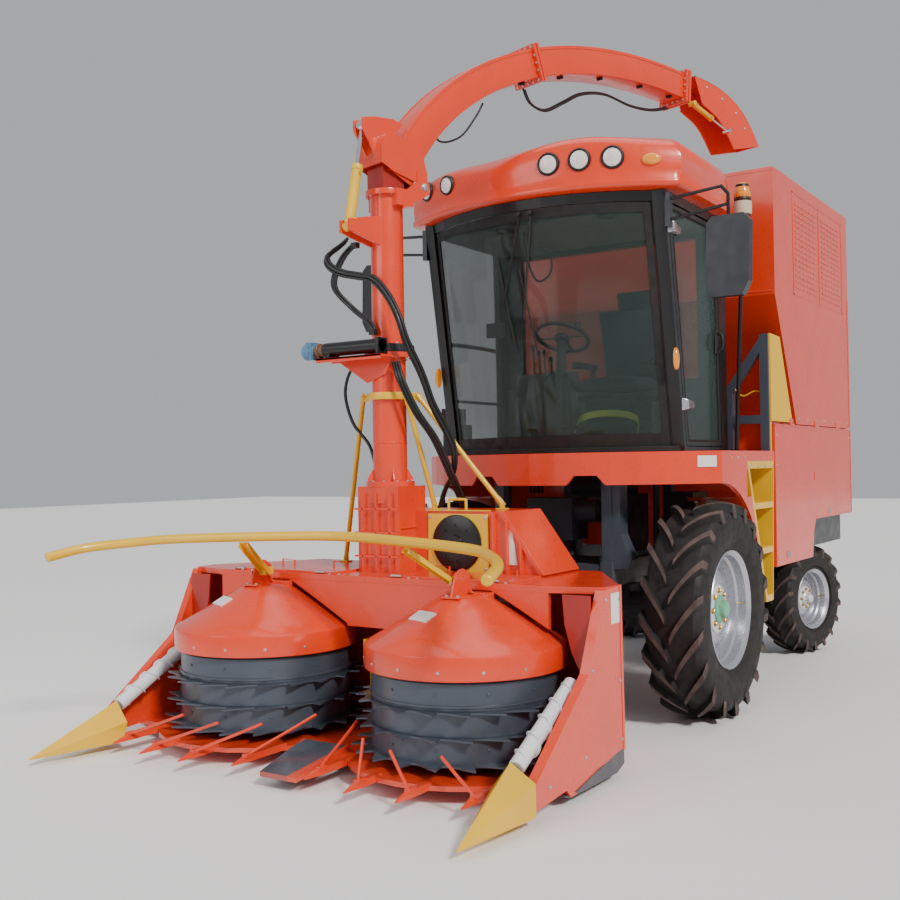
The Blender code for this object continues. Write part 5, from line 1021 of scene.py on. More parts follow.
def flap():
    half = 0.106
    top = [(2.945, 4.612), (3.10, 4.605), (3.25, 4.585), (3.38, 4.55), (3.50, 4.50), (3.60, 4.435), (3.68, 4.36),
           (3.74, 4.29), (3.79, 4.215)]
    low = [(3.44, 4.13), (3.37, 4.215), (3.30, 4.29), (3.22, 4.345), (3.13, 4.38), (3.04, 4.41)]
    shapes = [plate(top + [(s, z - 0.006) for s, z in reversed(top)], -half, half)]
    for side in (-1, 1):
        width = sorted((side * (half - 0.006), side * half))
        shapes.append(plate(top + low, *width))
        for (s0, z0), (s1, z1) in zip(top[-1:] + low, low):
            shapes.append(bar(along_spout(s0, z0, side * (half + 0.002)), along_spout(s1, z1, side * (half + 0.002)),
                              0.010, 0.012))
    shapes.append(bar(along_spout(3.785, 4.212, -half), along_spout(3.785, 4.212, half), 0.010, 0.014))
    piece("flap_shell", shapes, "flap", "red_paint", replaces=["spout_flap"], bevel=0.001, angle=30)
    pins = [rod(along_spout(2.935, 4.602, -0.128), along_spout(2.935, 4.602, 0.128), 0.008, 16)]
    pins += [bolt(along_spout(s, z, side * (half + 0.001)), along_spout(0, 0, side) - along_spout(0, 0, 0), 0.008)
             for side in (-1, 1) for s, z in ((3.10, 4.55), (3.30, 4.50), (3.48, 4.42), (3.60, 4.32))]
    piece("flap_bolts", pins, "flap", "zinc")


def turret_details():
    x, y = COLUMN
    tube = turned(quad(0.0925, 0.0988, 2.345, 3.252), (x, y, 0), sides=64)
    collar = turned([(0.0925, 3.248), (0.1262, 3.248), (0.1265, 3.252), (0.1265, 3.277), (0.1255, 3.2812),
                     (0.0925, 3.2812)], (x, y, 0), sides=64)
    piece("turret_tube", [tube, collar], "turret", "red_paint", bevel=0.0006)
    sleeve = loft([[along_spout(s, z, side * 0.080)
                    for s, z in ((-0.082, 3.2812), (0.075, 3.2812), (0.075, 3.36), (-0.082, 3.425))]
                   for side in (-1, 1)])
    # Painted shade: the sleeve under the spout's hood takes the darkened red.
    piece("turret_sleeve", sleeve, "turret", "painted_shade_red")
    bolts = bolt_ring((x, y, 3.250), (0, 0, -1), 0.113, 10, 0.007)
    piece("turret_bolts", bolts, "turret", "zinc")


HOSE = 0.0095
CROSSING = [(-0.745, -1.475, 3.005), (-0.775, -1.500, 2.965), (-0.822, -1.555, 2.90), (-0.79, -1.57, 2.835),
            (-0.70, -1.565, 2.785), (-0.58, -1.56, 2.755), (-0.474, -1.55, 2.724), (-0.373, -1.545, 2.615),
            (-0.300, -1.545, 2.485), (-0.262, -1.52, 2.340), (-0.214, -1.44, 2.153), (-0.181, -1.38, 1.976),
            (-0.144, -1.30, 1.829), (-0.123, -1.25, 1.71), (-0.160, -1.20, 1.58), (-0.250, -1.16, 1.47),
            (-0.300, -1.14, 1.365)]


def hose(points, radius, steps=6, sides=12):
    return sweep(smooth_route(points, steps), radius, sides)


def hoses():
    # On the turret: from the tilt cylinder down round the tube.
    base = [(-0.165, 2.955, -0.10), (-0.225, 2.86, -0.16), (-0.262, 2.70, -0.19), (-0.175, 2.57, -0.13),
            (-0.136, 2.48, -0.02), (-0.130, 2.42, 0.02)]
    bundle = []
    for k, (a, b) in enumerate(((0.0, 0.0), (0.012, 0.010), (-0.010, 0.013))):
        bundle.append(hose([along_spout(s + a * 0.6, z + b, side + a) for s, z, side in base], 0.0088))
    for s, z, side in (base[0], base[-1]):
        p = along_spout(s, z, side)
        bundle.append(around(p.x, p.y, p.z, 0.020, 0.018, 0.016))
    piece("turret_hose_bundle", bundle, "turret", "hose_rubber", replaces=["turret_hoses"])
    # A bundle loops out from the cylinder, crosses the column and hangs down its far side.
    loops = []
    for k, (a, b, c) in enumerate(((0, 0, 0), (0.012, -0.012, 0.014), (-0.010, -0.016, -0.012),
                                   (0.004, -0.026, 0.002))):
        loops.append(hose([Vector(p) + Vector((a, b * min(1.0, i / 2), c)) for i, p in enumerate(CROSSING)], HOSE, 5,
                          10))
    bundle = piece("crossing_hoses", loops, None, "hose_rubber")
    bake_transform(bundle)
    # From the column's shelf down beside it, with the coil of spare hose.
    route = [(-0.545, -1.245, 2.225), (-0.60, -1.21, 1.95), (-0.71, -1.20, 1.70), (-0.72, -1.22, 1.45),
             (-0.69, -1.25, 1.25), (-0.685, -1.28, 1.12)]
    down = [hose([Vector(p) + Vector(d) for p in route], HOSE)
            for d in ((0, 0, 0), (0.018, 0.012, 0.004), (-0.016, 0.010, 0), (0.004, -0.018, 0.0))]
    down += [around(*route[0], 0.030, 0.030, 0.014), around(-0.684, -1.275, 1.115, 0.030, 0.030, 0.016)]
    piece("column_hose_bundle", down, "header", "hose_rubber", replaces=["column_hoses"])
    route = [(-0.385, -1.505, 2.235), (-0.335, -1.52, 2.12), (-0.275, -1.46, 1.94), (-0.215, -1.36, 1.78),
             (-0.175, -1.26, 1.58), (-0.165, -1.17, 1.44), (-0.16, -1.13, 1.372)]
    front = [hose([(x + 0.020 * k, y, z) for x, y, z in route], HOSE) for k in range(3)]
    piece("front_hoses", front, "header", "hose_rubber")
    loops = []
    for k in range(2):
        c = Vector((-0.80 + 0.02 * k, -1.36 - 0.02 * k, 2.05))
        steps = ((0.02, 0.04, 0.20), (-0.06, 0.04, 0.16), (-0.09, 0.03, 0.02), (-0.03, 0.03, -0.16),
                 (0.08, 0.05, -0.30), (0.11, 0.08, -0.46))
        loops.append(hose([c + Vector(p) for p in steps], 0.0085))
    piece("side_hoses", loops, "header", "hose_rubber")
    # Under the spout's arch.
    arch = [(1.18, 4.165, 0.0), (1.24, 4.08, 0.0), (1.38, 4.06, 0.0), (1.56, 4.15, 0.0), (1.75, 4.25, 0.0),
            (2.00, 4.300, 0.0), (2.28, 4.275, 0.0), (2.52, 4.29, 0.0), (2.72, 4.345, 0.0)]
    under = [hose([along_spout(s, z - 0.012 * k, side + 0.016 * k) for s, z, side in arch], 0.008) for k in range(2)]
    lower = [(0.33, 3.79, 0.03), (0.40, 3.66, 0.03), (0.58, 3.72, 0.03), (0.72, 3.88, 0.03), (0.78, 3.975, 0.03)]
    under.append(hose([along_spout(*p) for p in lower], 0.0065))
    piece("arch_hoses", under, "spout", "hose_rubber", replaces=["spout_hoses"])


def cylinders():
    def dress_cylinder(name, start, end, barrel, share, colour):
        """The gland at the barrel's mouth, at share of the way from pin to pin, and two hose ports."""
        step = (end - start).normalized()
        split = start + (end - start) * share
        gland = turned([(barrel * 0.55, -0.030), (barrel * 1.10, -0.030), (barrel * 1.13, -0.026),
                        (barrel * 1.13, -0.004), (barrel * 1.08, 0.0), (barrel * 0.55, 0.0)], split, step, 32)
        boss = []
        cross, _ = across(step)
        for t in (0.10, 0.88):
            p = start + (split - start) * t
            boss.append(rod(p + cross * barrel * 0.8, p + cross * barrel * 1.45, barrel * 0.24, 12))
            boss.append(rod(p + cross * barrel * 1.40, p + cross * barrel * 1.85, barrel * 0.18, 6))
        piece(name + "_gland", [gland] + boss, name + "_barrel", colour, slot="cast", angle=30)
        dress(name + "_barrel", colour)
        dress(name + "_rod", "chrome")

    dress_cylinder("tilt_cylinder", along_spout(-0.28, 3.04), along_spout(-0.17, 3.66), 0.032, 0.60, "yellow_paint")
    dress_cylinder("flap_cylinder", along_spout(2.86, 4.365, 0.145), along_spout(3.30, 4.235, 0.145), 0.020, 0.55,
                   "yellow_paint")
    dress_cylinder("lift_cylinder", Vector((HEADER_X, -0.24, 0.70)), Vector((HEADER_X, -0.80, 0.88)), 0.045, 0.72,
                   "cast_iron")


# ---------------------------------------------------------------- cab
CAB_FLOOR, CAB_TOP, CAB_HALF, CAB_REAR, CAB_FRONT, LEAN = 1.6853, 3.29, 0.885, 0.66, -0.14, 0.28


def lean_at(y, z):
    """The cab's front leans forward with height, and its rear stands upright."""
    return y - LEAN * (z - CAB_FLOOR) / (CAB_TOP - CAB_FLOOR) * min(1.0, (CAB_REAR - y) / (CAB_REAR - CAB_FRONT))


def screen_point(x, z, out=0.0):
    """A point on the windscreen's outer face."""
    y = bow_y(x, 0.803, CAB_FRONT + 0.005, 0.27)
    return Vector((x, lean_at(y, z) - out, z))


def roof():
    half, corner_y, bulge, count = 1.0, CAB_FRONT - LEAN + 0.02, 0.32, 49

    def front_height(x):
        """The roof's brow is high over the middle right lamps and dips beside them."""
        return 0.05 * bell(x, 0.42, 0.36) - 0.035 * bell(x, -0.22, 0.20) + 0.012 * bell(x, -0.66, 0.2)

    def loop(inset, z, wave, push=0.0):
        front = bow(half - inset, corner_y + inset, bulge, count)
        rear = CAB_REAR - 0.02 - inset
        corner = 0.24 - inset * 0.4
        left = arc((half - inset - corner, rear - corner), corner, 90, 0, 7)
        right = arc((-half + inset + corner, rear - corner), corner, 180, 90, 7)
        points = [(px, py, z) for px, py in left]
        points += [(px, py - push * max(0.0, 1 - (px / half) ** 4), z + wave * front_height(px)) for px, py in front]
        points += [(px, py, z) for px, py in right]
        return points

    rows = ((0.075, 3.2915, 0, 0), (0.010, 3.296, 0, 0.004), (0.0, 3.312, 0, 0.010), (0.0, 3.335, 0.1, 0.008),
            (0.008, 3.352, 0.15, 0.002), (0.004, 3.40, 0.4, 0), (0.006, 3.47, 0.7, 0), (0.016, 3.53, 1.0, 0.006),
            (0.034, 3.565, 1.1, 0.006), (0.065, 3.592, 1.0, 0), (0.12, 3.622, 0.6, 0), (0.24, 3.660, 0.2, 0),
            (0.42, 3.684, 0, 0), (0.70, 3.694, 0, 0))
    piece("roof_shell", loft([loop(*row) for row in rows]), "chassis", "red_paint", replaces=["cab_roof"], angle=50)
    # Five round lamps in recessed rings, and the amber marker.
    lens, rings = [], []
    for x, z, r in ((-0.788, 3.500, 0.062), (-0.560, 3.490, 0.062), (0.245, 3.482, 0.068), (0.439, 3.487, 0.068),
                    (0.632, 3.485, 0.068)):
        y = bow_y(x, half, corner_y, bulge)
        slope = x / ((half**2 + bulge**2) / (2 * bulge))
        out = Vector((slope * 0.9, -1, -0.10)).normalized()
        centre = Vector((x, y + 0.004, z))
        lens.append(turned([(0, 0.004), (r * 0.80, 0.002), (r * 0.84, 0.006), (r * 0.80, 0.014), (r * 0.45, 0.022),
                            (0, 0.025)], centre, out, 40))
        rings.append(turned([(r * 0.80, -0.012), (r * 1.05, -0.012), (r * 1.07, 0.004), (r * 1.0, 0.014),
                             (r * 0.92, 0.017), (r * 0.84, 0.010)], centre, out, 40))
        cross, up = across(out)
        for a in (90, 210, 330):
            p = centre + (math.cos(math.radians(a)) * cross + math.sin(math.radians(a)) * up) * r * 0.96
            rings.append(rod(p, p + out * 0.018, 0.004, 8))
    piece("roof_lamps", lens, "chassis", "lamp_lens")
    piece("roof_lamp_rings", rings, "chassis", "black_plastic", angle=30)
    y = bow_y(0.845, half, corner_y, bulge)
    out = Vector((0.55, -1, 0)).normalized()
    cross, up = across(out)
    oval = [[Vector((0.845, y + 0.004, 3.462)) + out * d + cross * 0.060 * k * math.cos(a) + up * 0.036 * k
             * math.sin(a) for a in round_angles(28)]
            for d, k in ((-0.01, 1.0), (0.006, 1.0), (0.016, 0.85), (0.021, 0.5))]
    piece("roof_marker", loft(oval), "chassis", "amber_lens", angle=50)


def cab_details():
    half = CAB_HALF
    # Black borders printed on the glass, laid just outside it, and the rubber seals.
    frit = []
    steps = 28
    reach = 0.795

    def strip(z0, z1):
        rows = []
        for i in range(steps + 1):
            x = -reach + 2 * reach * i / steps
            rows.append([screen_point(x, z, out) for z, out in quad(z0, z1, 0.0015, 0.003)])
        return loft(rows)

    frit += [strip(1.722, 1.80), strip(3.165, 3.224)]
    for sign in (-1, 1):
        rows = []
        for k in range(13):
            z = 1.722 + (3.224 - 1.722) * k / 12
            edges = quad(sign * reach, sign * (reach - 0.038), 0.0015, 0.003)
            rows.append([screen_point(x, z, out) for x, out in edges])
        frit.append(loft(rows))
    piece("windscreen_border", frit, "chassis", "seal_rubber")
    # Door: seals, hinges and handle.
    seal, n = [], 10
    corners = ((-0.060, 1.752), (-0.060, 3.193), (0.505, 3.193), (0.505, 1.752))
    for (ya, za), (yb, zb) in zip(corners, corners[1:] + corners[:1]):
        line = [(ya + (yb - ya) * i / n, za + (zb - za) * i / n) for i in range(n + 1)]
        seal.append(sweep([(half - 0.005, lean_at(y, z), z) for y, z in line], 0.008, 8))
    piece("door_seal", seal, "cab_door", "seal_rubber")
    wedge = []
    for z in (3.07, 1.98):
        y = lean_at(-0.098, z)
        foot = [(0.002, -0.045, -0.042), (0.002, 0.165, -0.026), (0.002, 0.165, 0.026), (0.002, -0.045, 0.042)]
        face = [(0.040, -0.020, -0.030), (0.016, 0.145, -0.014), (0.016, 0.145, 0.014), (0.040, -0.020, 0.030)]
        wedge.append(loft([[(half + a, y + b, z + c) for a, b, c in line] for line in (foot, face)]))
    piece("door_hinges", wedge, "cab_door", "rim_paint", slot="white", bevel=0.006, segments=3)
    z = 2.42
    y = lean_at(0.49, z)
    base = [[(half + out, y + b, z + c) for b, c in corners] for out, corners in
            ((0.001, quad(-0.028, 0.026, -0.075, 0.085)), (0.012, quad(-0.022, 0.020, -0.068, 0.078)))]
    handle = [loft(base),
              sweep(smooth_route([(half + 0.010, y, z + 0.060), (half + 0.040, y, z + 0.045),
                                  (half + 0.042, y, z - 0.030), (half + 0.010, y, z - 0.050)], 5), 0.011, 12),
              rod((half + 0.01, y, z - 0.058), (half + 0.024, y, z - 0.058), 0.012, 20, 0.002)]
    piece("door_handle", handle, "cab_door", "black_plastic", bevel=0.003)
    markers = []
    for sign, z in ((1, 2.26), (-1, 2.24)):
        p = Vector((sign * (half + 0.001), lean_at(-0.175, z), z))
        markers.append(loft([[p + Vector((sign * d, 0.028 * k * math.cos(a), 0.070 * k * math.sin(a)))
                              for a in round_angles(24)]
                             for d, k in ((-0.003, 1), (0.010, 1), (0.020, 0.8), (0.024, 0.4))]))
    piece("side_markers", markers, "chassis", "amber_lens", angle=50)
    # Wipers from the head of the windscreen.
    wipers = []
    for x0, x1, z1 in ((0.02, -0.18, 2.62), (0.10, -0.02, 2.55)):
        top = screen_point(x0, 3.20, 0.012)
        low = screen_point(x1, z1, 0.014)
        wipers.append(bar(top, low, 0.014, 0.008))
        wipers.append(rod(top - Vector((0, 0.004, 0)), top - Vector((0, 0.03, 0)), 0.016, 16, 0.003))
        blade = [screen_point(x1 + (0.010 * k), z1 + 0.32 - 0.075 * k, 0.008) for k in range(9)]
        wipers.append(sweep(blade, 0.006, 6))
    piece("wipers", wipers, "chassis", "black_plastic", bevel=0.001)
    # Pillar trims that round off the windscreen's corners.
    trims = []
    for sign in (-1, 1):
        rows = []
        for k in range(9):
            z = CAB_FLOOR + 0.003 + (CAB_TOP - CAB_FLOOR - 0.008) * k / 8
            yc = lean_at(CAB_FRONT, z)
            loop = []
            for a in range(6):
                t = a / 5
                x = 0.812 + 0.073 * math.sin(t * math.pi / 2)
                loop.append((sign * x, yc - 0.012 * math.cos(t * math.pi / 2) + 0.001, z))
            loop += [(sign * 0.884, yc + 0.02, z), (sign * 0.812, yc + 0.02, z)]
            rows.append(loop)
        trims.append(loft(rows))
    piece("pillar_trims", trims, "chassis", "black_paint", angle=50)
    # Door-step sill, floor edge strip.
    sill = bow(half - 0.02, CAB_FRONT - 0.006, 0.275, 25)
    inner = bow(half - 0.06, CAB_FRONT + 0.02, 0.255, 25)
    piece("cab_sill", prism(sill + inner[::-1], "Z", CAB_FLOOR - 0.0002, CAB_FLOOR + 0.036), "chassis", "seal_rubber",
          bevel=0.004)
    # Inner lining.
    lining = [box((-0.838, 0.600, 1.72), (0.838, 0.6145, 2.19)),
              box((-0.835, lean_at(-0.1, 3.2), 3.212), (0.835, 0.60, 3.229))]
    piece("cab_lining", lining, "chassis", "interior_grey", bevel=0.003)
    speakers = []
    for x in (-0.30, 0.46):
        c = Vector((x, -0.30, 3.2115))
        speakers.append(turned([(0, 0), (0.075, 0), (0.080, -0.004), (0.080, -0.014), (0.070, -0.016),
                                (0.060, -0.008), (0.020, -0.006), (0, -0.012)], c, (0, 0, 1), 36))
    piece("speakers", speakers, "chassis", "black_plastic")


def interior():
    # Seat: a suspension base in a bellows, a crowned cushion, a shaped back, and arm rests.
    x = 0.26
    base = [around(x, 0.24, 1.745, 0.20, 0.18, 0.026), around(x, 0.24, 2.06, 0.22, 0.19, 0.020)]
    bellows = []
    for k in range(9):
        half = 0.17 + (0.012 if k % 2 else 0.0)
        bellows.append((x - half, x + half, 0.24 - half * 0.9, 0.24 + half * 0.9, 1.77 + 0.034 * k))
    piece("seat_base", base + [stack(*bellows)], "chassis", "black_plastic", bevel=0.004)

    def cushion(name, centre, size, tilt, crown, bolster):
        nx, nz = 11, 11
        points, faces = [], []
        matrix = Matrix.Translation(Vector(centre)) @ Matrix.Rotation(tilt, 4, "X")
        for layer in (1, -1):
            for j in range(nz):
                for i in range(nx):
                    u, v = -1 + 2 * i / (nx - 1), -1 + 2 * j / (nz - 1)
                    edge = (1 - u**6) * (1 - v**6)
                    pull = 1 - 0.045 * (1 - abs(u)) * abs(v) ** 3 - 0.045 * (1 - abs(v)) * abs(u) ** 3
                    channel = 0.012 * bell(abs(u), 0.62,
                                           0.06) + 0.006 * bell(v, 0.25, 0.05) + 0.006 * bell(v, -0.25, 0.05)
                    top = crown * (1 - u * u) * (1 - v * v) + bolster * abs(u) ** 3 * edge - channel * edge
                    h = size[2] * (0.35 + 0.65 * edge**0.5) + (top if layer > 0 else 0)
                    points.append(matrix @ Vector((u * size[0] * pull, v * size[1] * pull, layer * h)))
        grid = nx * nz
        for j in range(nz - 1):
            for i in range(nx - 1):
                a = j * nx + i
                faces.append((a, a + 1, a + nx + 1, a + nx))
                faces.append((grid + a, grid + a + nx, grid + a + nx + 1, grid + a + 1))
        rim_loop = [i for i in range(nx)] + [j * nx + nx - 1
                                             for j in range(1, nz)] + [(nz - 1) * nx + i
                                                                       for i in range(nx - 2, -1, -1)]
        rim_loop += [j * nx for j in range(nz - 2, 0, -1)]
        for a, b in zip(rim_loop, rim_loop[1:] + rim_loop[:1]):
            faces.append((a, b, grid + b, grid + a))
        obj = piece(name, (points, faces), "chassis", "seat_cloth", subdiv=1, replaces=["seat"])

    cushion("seat_cushion", (x, 0.215, 2.150), (0.235, 0.225, 0.052), math.radians(4), 0.018, 0.022)
    cushion("seat_back", (x, 0.475, 2.44), (0.225, 0.270, 0.048), math.radians(102), 0.010, 0.024)
    cushion("seat_headrest", (x, 0.535, 2.765), (0.130, 0.075, 0.036), math.radians(100), 0.010, 0.0)
    arms = [around(x + s * 0.262, 0.26, 2.30, 0.030, 0.15, 0.022) for s in (-1, 1)]
    arms += [around(x + s * 0.262, 0.40, 2.20, 0.012, 0.02, 0.10) for s in (-1, 1)]
    piece("seat_arms", arms, "chassis", "black_plastic", bevel=0.008, segments=3)
    strap = [(0.52, -0.10, 1.735), (0.50, 0.02, 1.90), (0.34, -0.02, 1.95), (0.12, -0.04, 1.925), (0.02, 0.02, 1.80)]
    rows = []
    for p in smooth_route(strap, 6):
        rows.append([p + Vector((0, b, c)) for b, c in quad(-0.004, 0, -0.022, 0.022)])
    piece("seat_strap", loft(rows), "chassis", "strap_green")
    # Steering wheel on its console.
    hub = Vector((0.02, -0.12, 2.47))
    axis = Vector((0, 0.45, 0.90)).normalized()
    side, up = across(axis)
    ring = [[hub + (0.178 + 0.0135 * math.cos(b)) * (math.cos(a) * side + math.sin(a) * up) + axis * 0.0135
             * math.sin(b) for b in round_angles(12)] for a in round_angles(56)]
    shapes = [loft(ring, closed=True),
              turned([(0, -0.03), (0.045, -0.03), (0.055, -0.01), (0.050, 0.010), (0.030, 0.018), (0, 0.020)], hub,
                     axis, 32)]
    for spoke in (side, -side, -up):
        shapes.append(bar(hub + spoke * 0.02, hub + spoke * 0.176, 0.030, 0.010))
    shapes.append(rod((0.02, -0.20, 1.80), hub, 0.032, 24))
    shapes.append(stack((-0.07, 0.11, -0.30, -0.12, 1.716), (-0.05, 0.09, -0.27, -0.15, 2.10),
                        (-0.03, 0.07, -0.24, -0.13, 2.22)))
    knob = turned([(0, 0.01), (0.018, 0.012), (0.022, 0.035), (0.012, 0.055), (0, 0.056)],
                  hub + side * 0.150 + up * 0.09, axis, 20)
    piece("steering_console", shapes + [knob], "chassis", "black_plastic", replaces=["steering_wheel"], bevel=0.004)
    # Side console with levers, a display and pedals.
    console = [loft([[(-0.42, -0.05, 1.716), (-0.14, -0.05, 1.716), (-0.14, 0.50, 1.716), (-0.42, 0.50, 1.716)],
                     [(-0.40, -0.02, 2.24), (-0.16, -0.02, 2.24), (-0.16, 0.48, 2.30), (-0.40, 0.48, 2.30)]])]
    piece("side_console", console, "chassis", "interior_grey", bevel=0.012, segments=3)
    levers = []
    for y, h in ((0.04, 0.18), (0.12, 0.15), (0.20, 0.16), (0.30, 0.12)):
        p = Vector((-0.28, y, 2.24))
        levers.append(rod(p, p + Vector((0, -0.03, h)), 0.006, 10))
        levers.append(turned([(0, 0), (0.012, 0.004), (0.016, 0.022), (0.010, 0.040), (0, 0.042)],
                             p + Vector((0, -0.03, h - 0.01)), (0, 0, 1), 16))
    levers += [around(-0.45, -0.20, 2.55, 0.075, 0.012, 0.050),
               rod((-0.45, -0.19, 1.72), (-0.45, -0.19, 2.52), 0.010, 10)]
    levers += [moved(around(0, 0, 0, 0.035, 0.008, 0.050), Matrix.Translation((xx, -0.32, 1.82))
                     @ Matrix.Rotation(0.6, 4, "X")) for xx in (-0.10, 0.16, 0.25)]
    piece("levers", levers, "chassis", "black_plastic", bevel=0.002)
    # Wire hoop hanging from the roof lining.
    hoop = sweep(smooth_route([(-0.22, -0.20, 3.20), (-0.20, -0.20, 3.02), (-0.12, -0.20, 2.86), (-0.02, -0.20, 2.90),
                               (-0.02, -0.20, 3.02), (-0.10, -0.20, 3.08)], 6), 0.008, 8)
    piece("grab_loop", hoop, "chassis", "black_plastic")


def mirrors_and_beacon():
    for side, sign in (("left", 1), ("right", -1)):
        dress("mirror_" + side, "navy_plastic", 0.012, 3)
        x = sign * 1.29
        glass = prism([(x - 0.115, 2.66), (x - 0.09, 2.61), (x + 0.08, 2.61), (x + 0.11, 2.68), (x + 0.115, 3.00),
                       (x + 0.09, 3.05), (x - 0.08, 3.05), (x - 0.11, 3.00)], "Y", -0.3845, -0.3830)
        piece(f"mirror_{side}_glass", glass, "chassis", "mirror_face")
    head = Vector((1.01, 0.69, 3.30))
    lens = turned([(0, 0.10), (0.052, 0.10), (0.056, 0.105), (0.056, 0.16), (0.048, 0.20), (0.030, 0.232),
                   (0, 0.239)], head, (0, 0, 1), 40)
    ribs = [turned([(0.054, z), (0.0585, z + 0.002), (0.054, z + 0.004)], head, (0, 0, 1), 40)
            for z in (0.118, 0.130, 0.142)]
    piece("beacon_lens", [lens] + ribs, "chassis", "amber_lens", angle=40)
    base = [turned([(0, 0.0), (0.040, 0.0), (0.060, 0.018), (0.062, 0.030), (0.062, 0.102), (0, 0.102)], head,
                   (0, 0, 1), 40)]
    piece("beacon_base", base, "chassis", "cream_plastic", angle=35)


# ---------------------------------------------------------------- platform and body
BODY_HALF, REAR_WALL = 1.1, 3.19


def platform_details():
    # Tread plates on the ladder, bolts, and the fascia's blank plate.
    grips = []
    for z in (1.31, 1.00, 0.665):
        y0, y1 = 0.406 + (1.615 - z) * 0.372 + 0.02, 0.988 - (1.615 - z) * 0.07 - 0.012
        for k in range(5):
            y = y0 + (y1 - y0) * (k + 0.5) / 5
            grips.append(box((0.885, y - 0.012, z + 0.019), (1.095, y + 0.012, z + 0.0245)))
    piece("ladder_treads", grips, "chassis", "yellow_paint", bevel=0.0015)
    x = BODY_HALF
    bolts = [bolt_row((x, 0.47, 1.58), (x, 0.95, 1.58), 4, (1, 0, 0), 0.008),
             bolt_row((x, 0.10, 1.64), (x, 0.36, 1.64), 3, (1, 0, 0), 0.007),
             bolt_row((-x, 0.10, 1.64), (-x, 0.90, 1.64), 5, (-1, 0, 0), 0.007)]
    piece("platform_bolts", bolts, "chassis", "zinc")
    rows = []
    for k in range(7):
        px = 0.985 + 0.09 * k / 6
        y = bow_y(px, BODY_HALF, -0.07, 0.50)
        rows.append([(px, y - out, z) for z, out in quad(1.585, 1.655, 0.0005, 0.003)])
    piece("fascia_plate", loft(rows), "chassis", "label_white")
    # Castings, tanks and pipes that show under the platform.
    dark = [around(-0.05, -0.10, 1.25, 0.17, 0.12, 0.14),
            rod((-0.25, -0.12, 1.30), (0.28, -0.12, 1.30), 0.075, 24, 0.008),
            around(0.22, 0.42, 1.20, 0.10, 0.16, 0.20), rod((-0.22, 0.50, 1.45), (0.25, 0.50, 1.45), 0.09, 24, 0.01),
            around(0.62, 0.55, 1.25, 0.10, 0.14, 0.16)]
    dark += [rod((0.50, 0.30, 0.99), (0.50, 0.30, 1.60), 0.022, 12),
             rod((-0.62, 0.20, 1.2), (-0.62, 0.20, 1.62), 0.03, 12)]
    dark += [bolt_ring((-0.26, -0.12, 1.30), (-1, 0, 0), 0.055, 6, 0.008),
             bolt_ring((0.29, -0.12, 1.30), (1, 0, 0), 0.055, 6, 0.008)]
    piece("drive_castings", dark, "chassis", "cast_iron", bevel=0.008)
    route = ((-0.30, -0.02, 1.42), (-0.34, 0.10, 1.50), (-0.30, 0.35, 1.52), (-0.20, 0.62, 1.40), (-0.15, 0.90, 1.30))
    lines = [hose([(x + 0.03 * k, y, z) for x, y, z in route], 0.010) for k in range(4)]
    piece("drive_hoses", lines, "chassis", "hose_rubber")
    # Valve block on the platform's right front corner.
    block = [around(-0.90, -0.02, 1.80, 0.055, 0.11, 0.112), around(-0.95, -0.02, 1.98, 0.03, 0.09, 0.05)]
    block += [rod((-0.90, -0.10 + 0.055 * k, 1.90), (-0.90, -0.10 + 0.055 * k, 2.03), 0.016, 12, 0.003)
              for k in range(4)]
    piece("valve_block", block, "chassis", "cast_iron", bevel=0.004)
    rail = [sweep(smooth_route([(-1.05, 0.10, 1.69), (-1.05, 0.10, 2.45), (-1.05, 0.16, 2.52), (-1.05, 0.80, 2.52),
                                (-1.05, 0.86, 2.46), (-1.05, 0.86, 1.69)], 5), 0.016, 14),
            rod((-1.05, 0.10, 2.1), (-1.05, 0.86, 2.1), 0.012, 12)]
    piece("right_hand_rail", rail, "chassis", "blue_grey_paint")
    strap = sweep(smooth_route([(0.84, 0.93, 2.14), (0.90, 0.94, 2.08), (0.98, 0.95, 2.11), (1.04, 0.95, 2.10)], 6),
                  0.005, 8)
    piece("rail_strap", strap, "chassis", "yellow_paint")


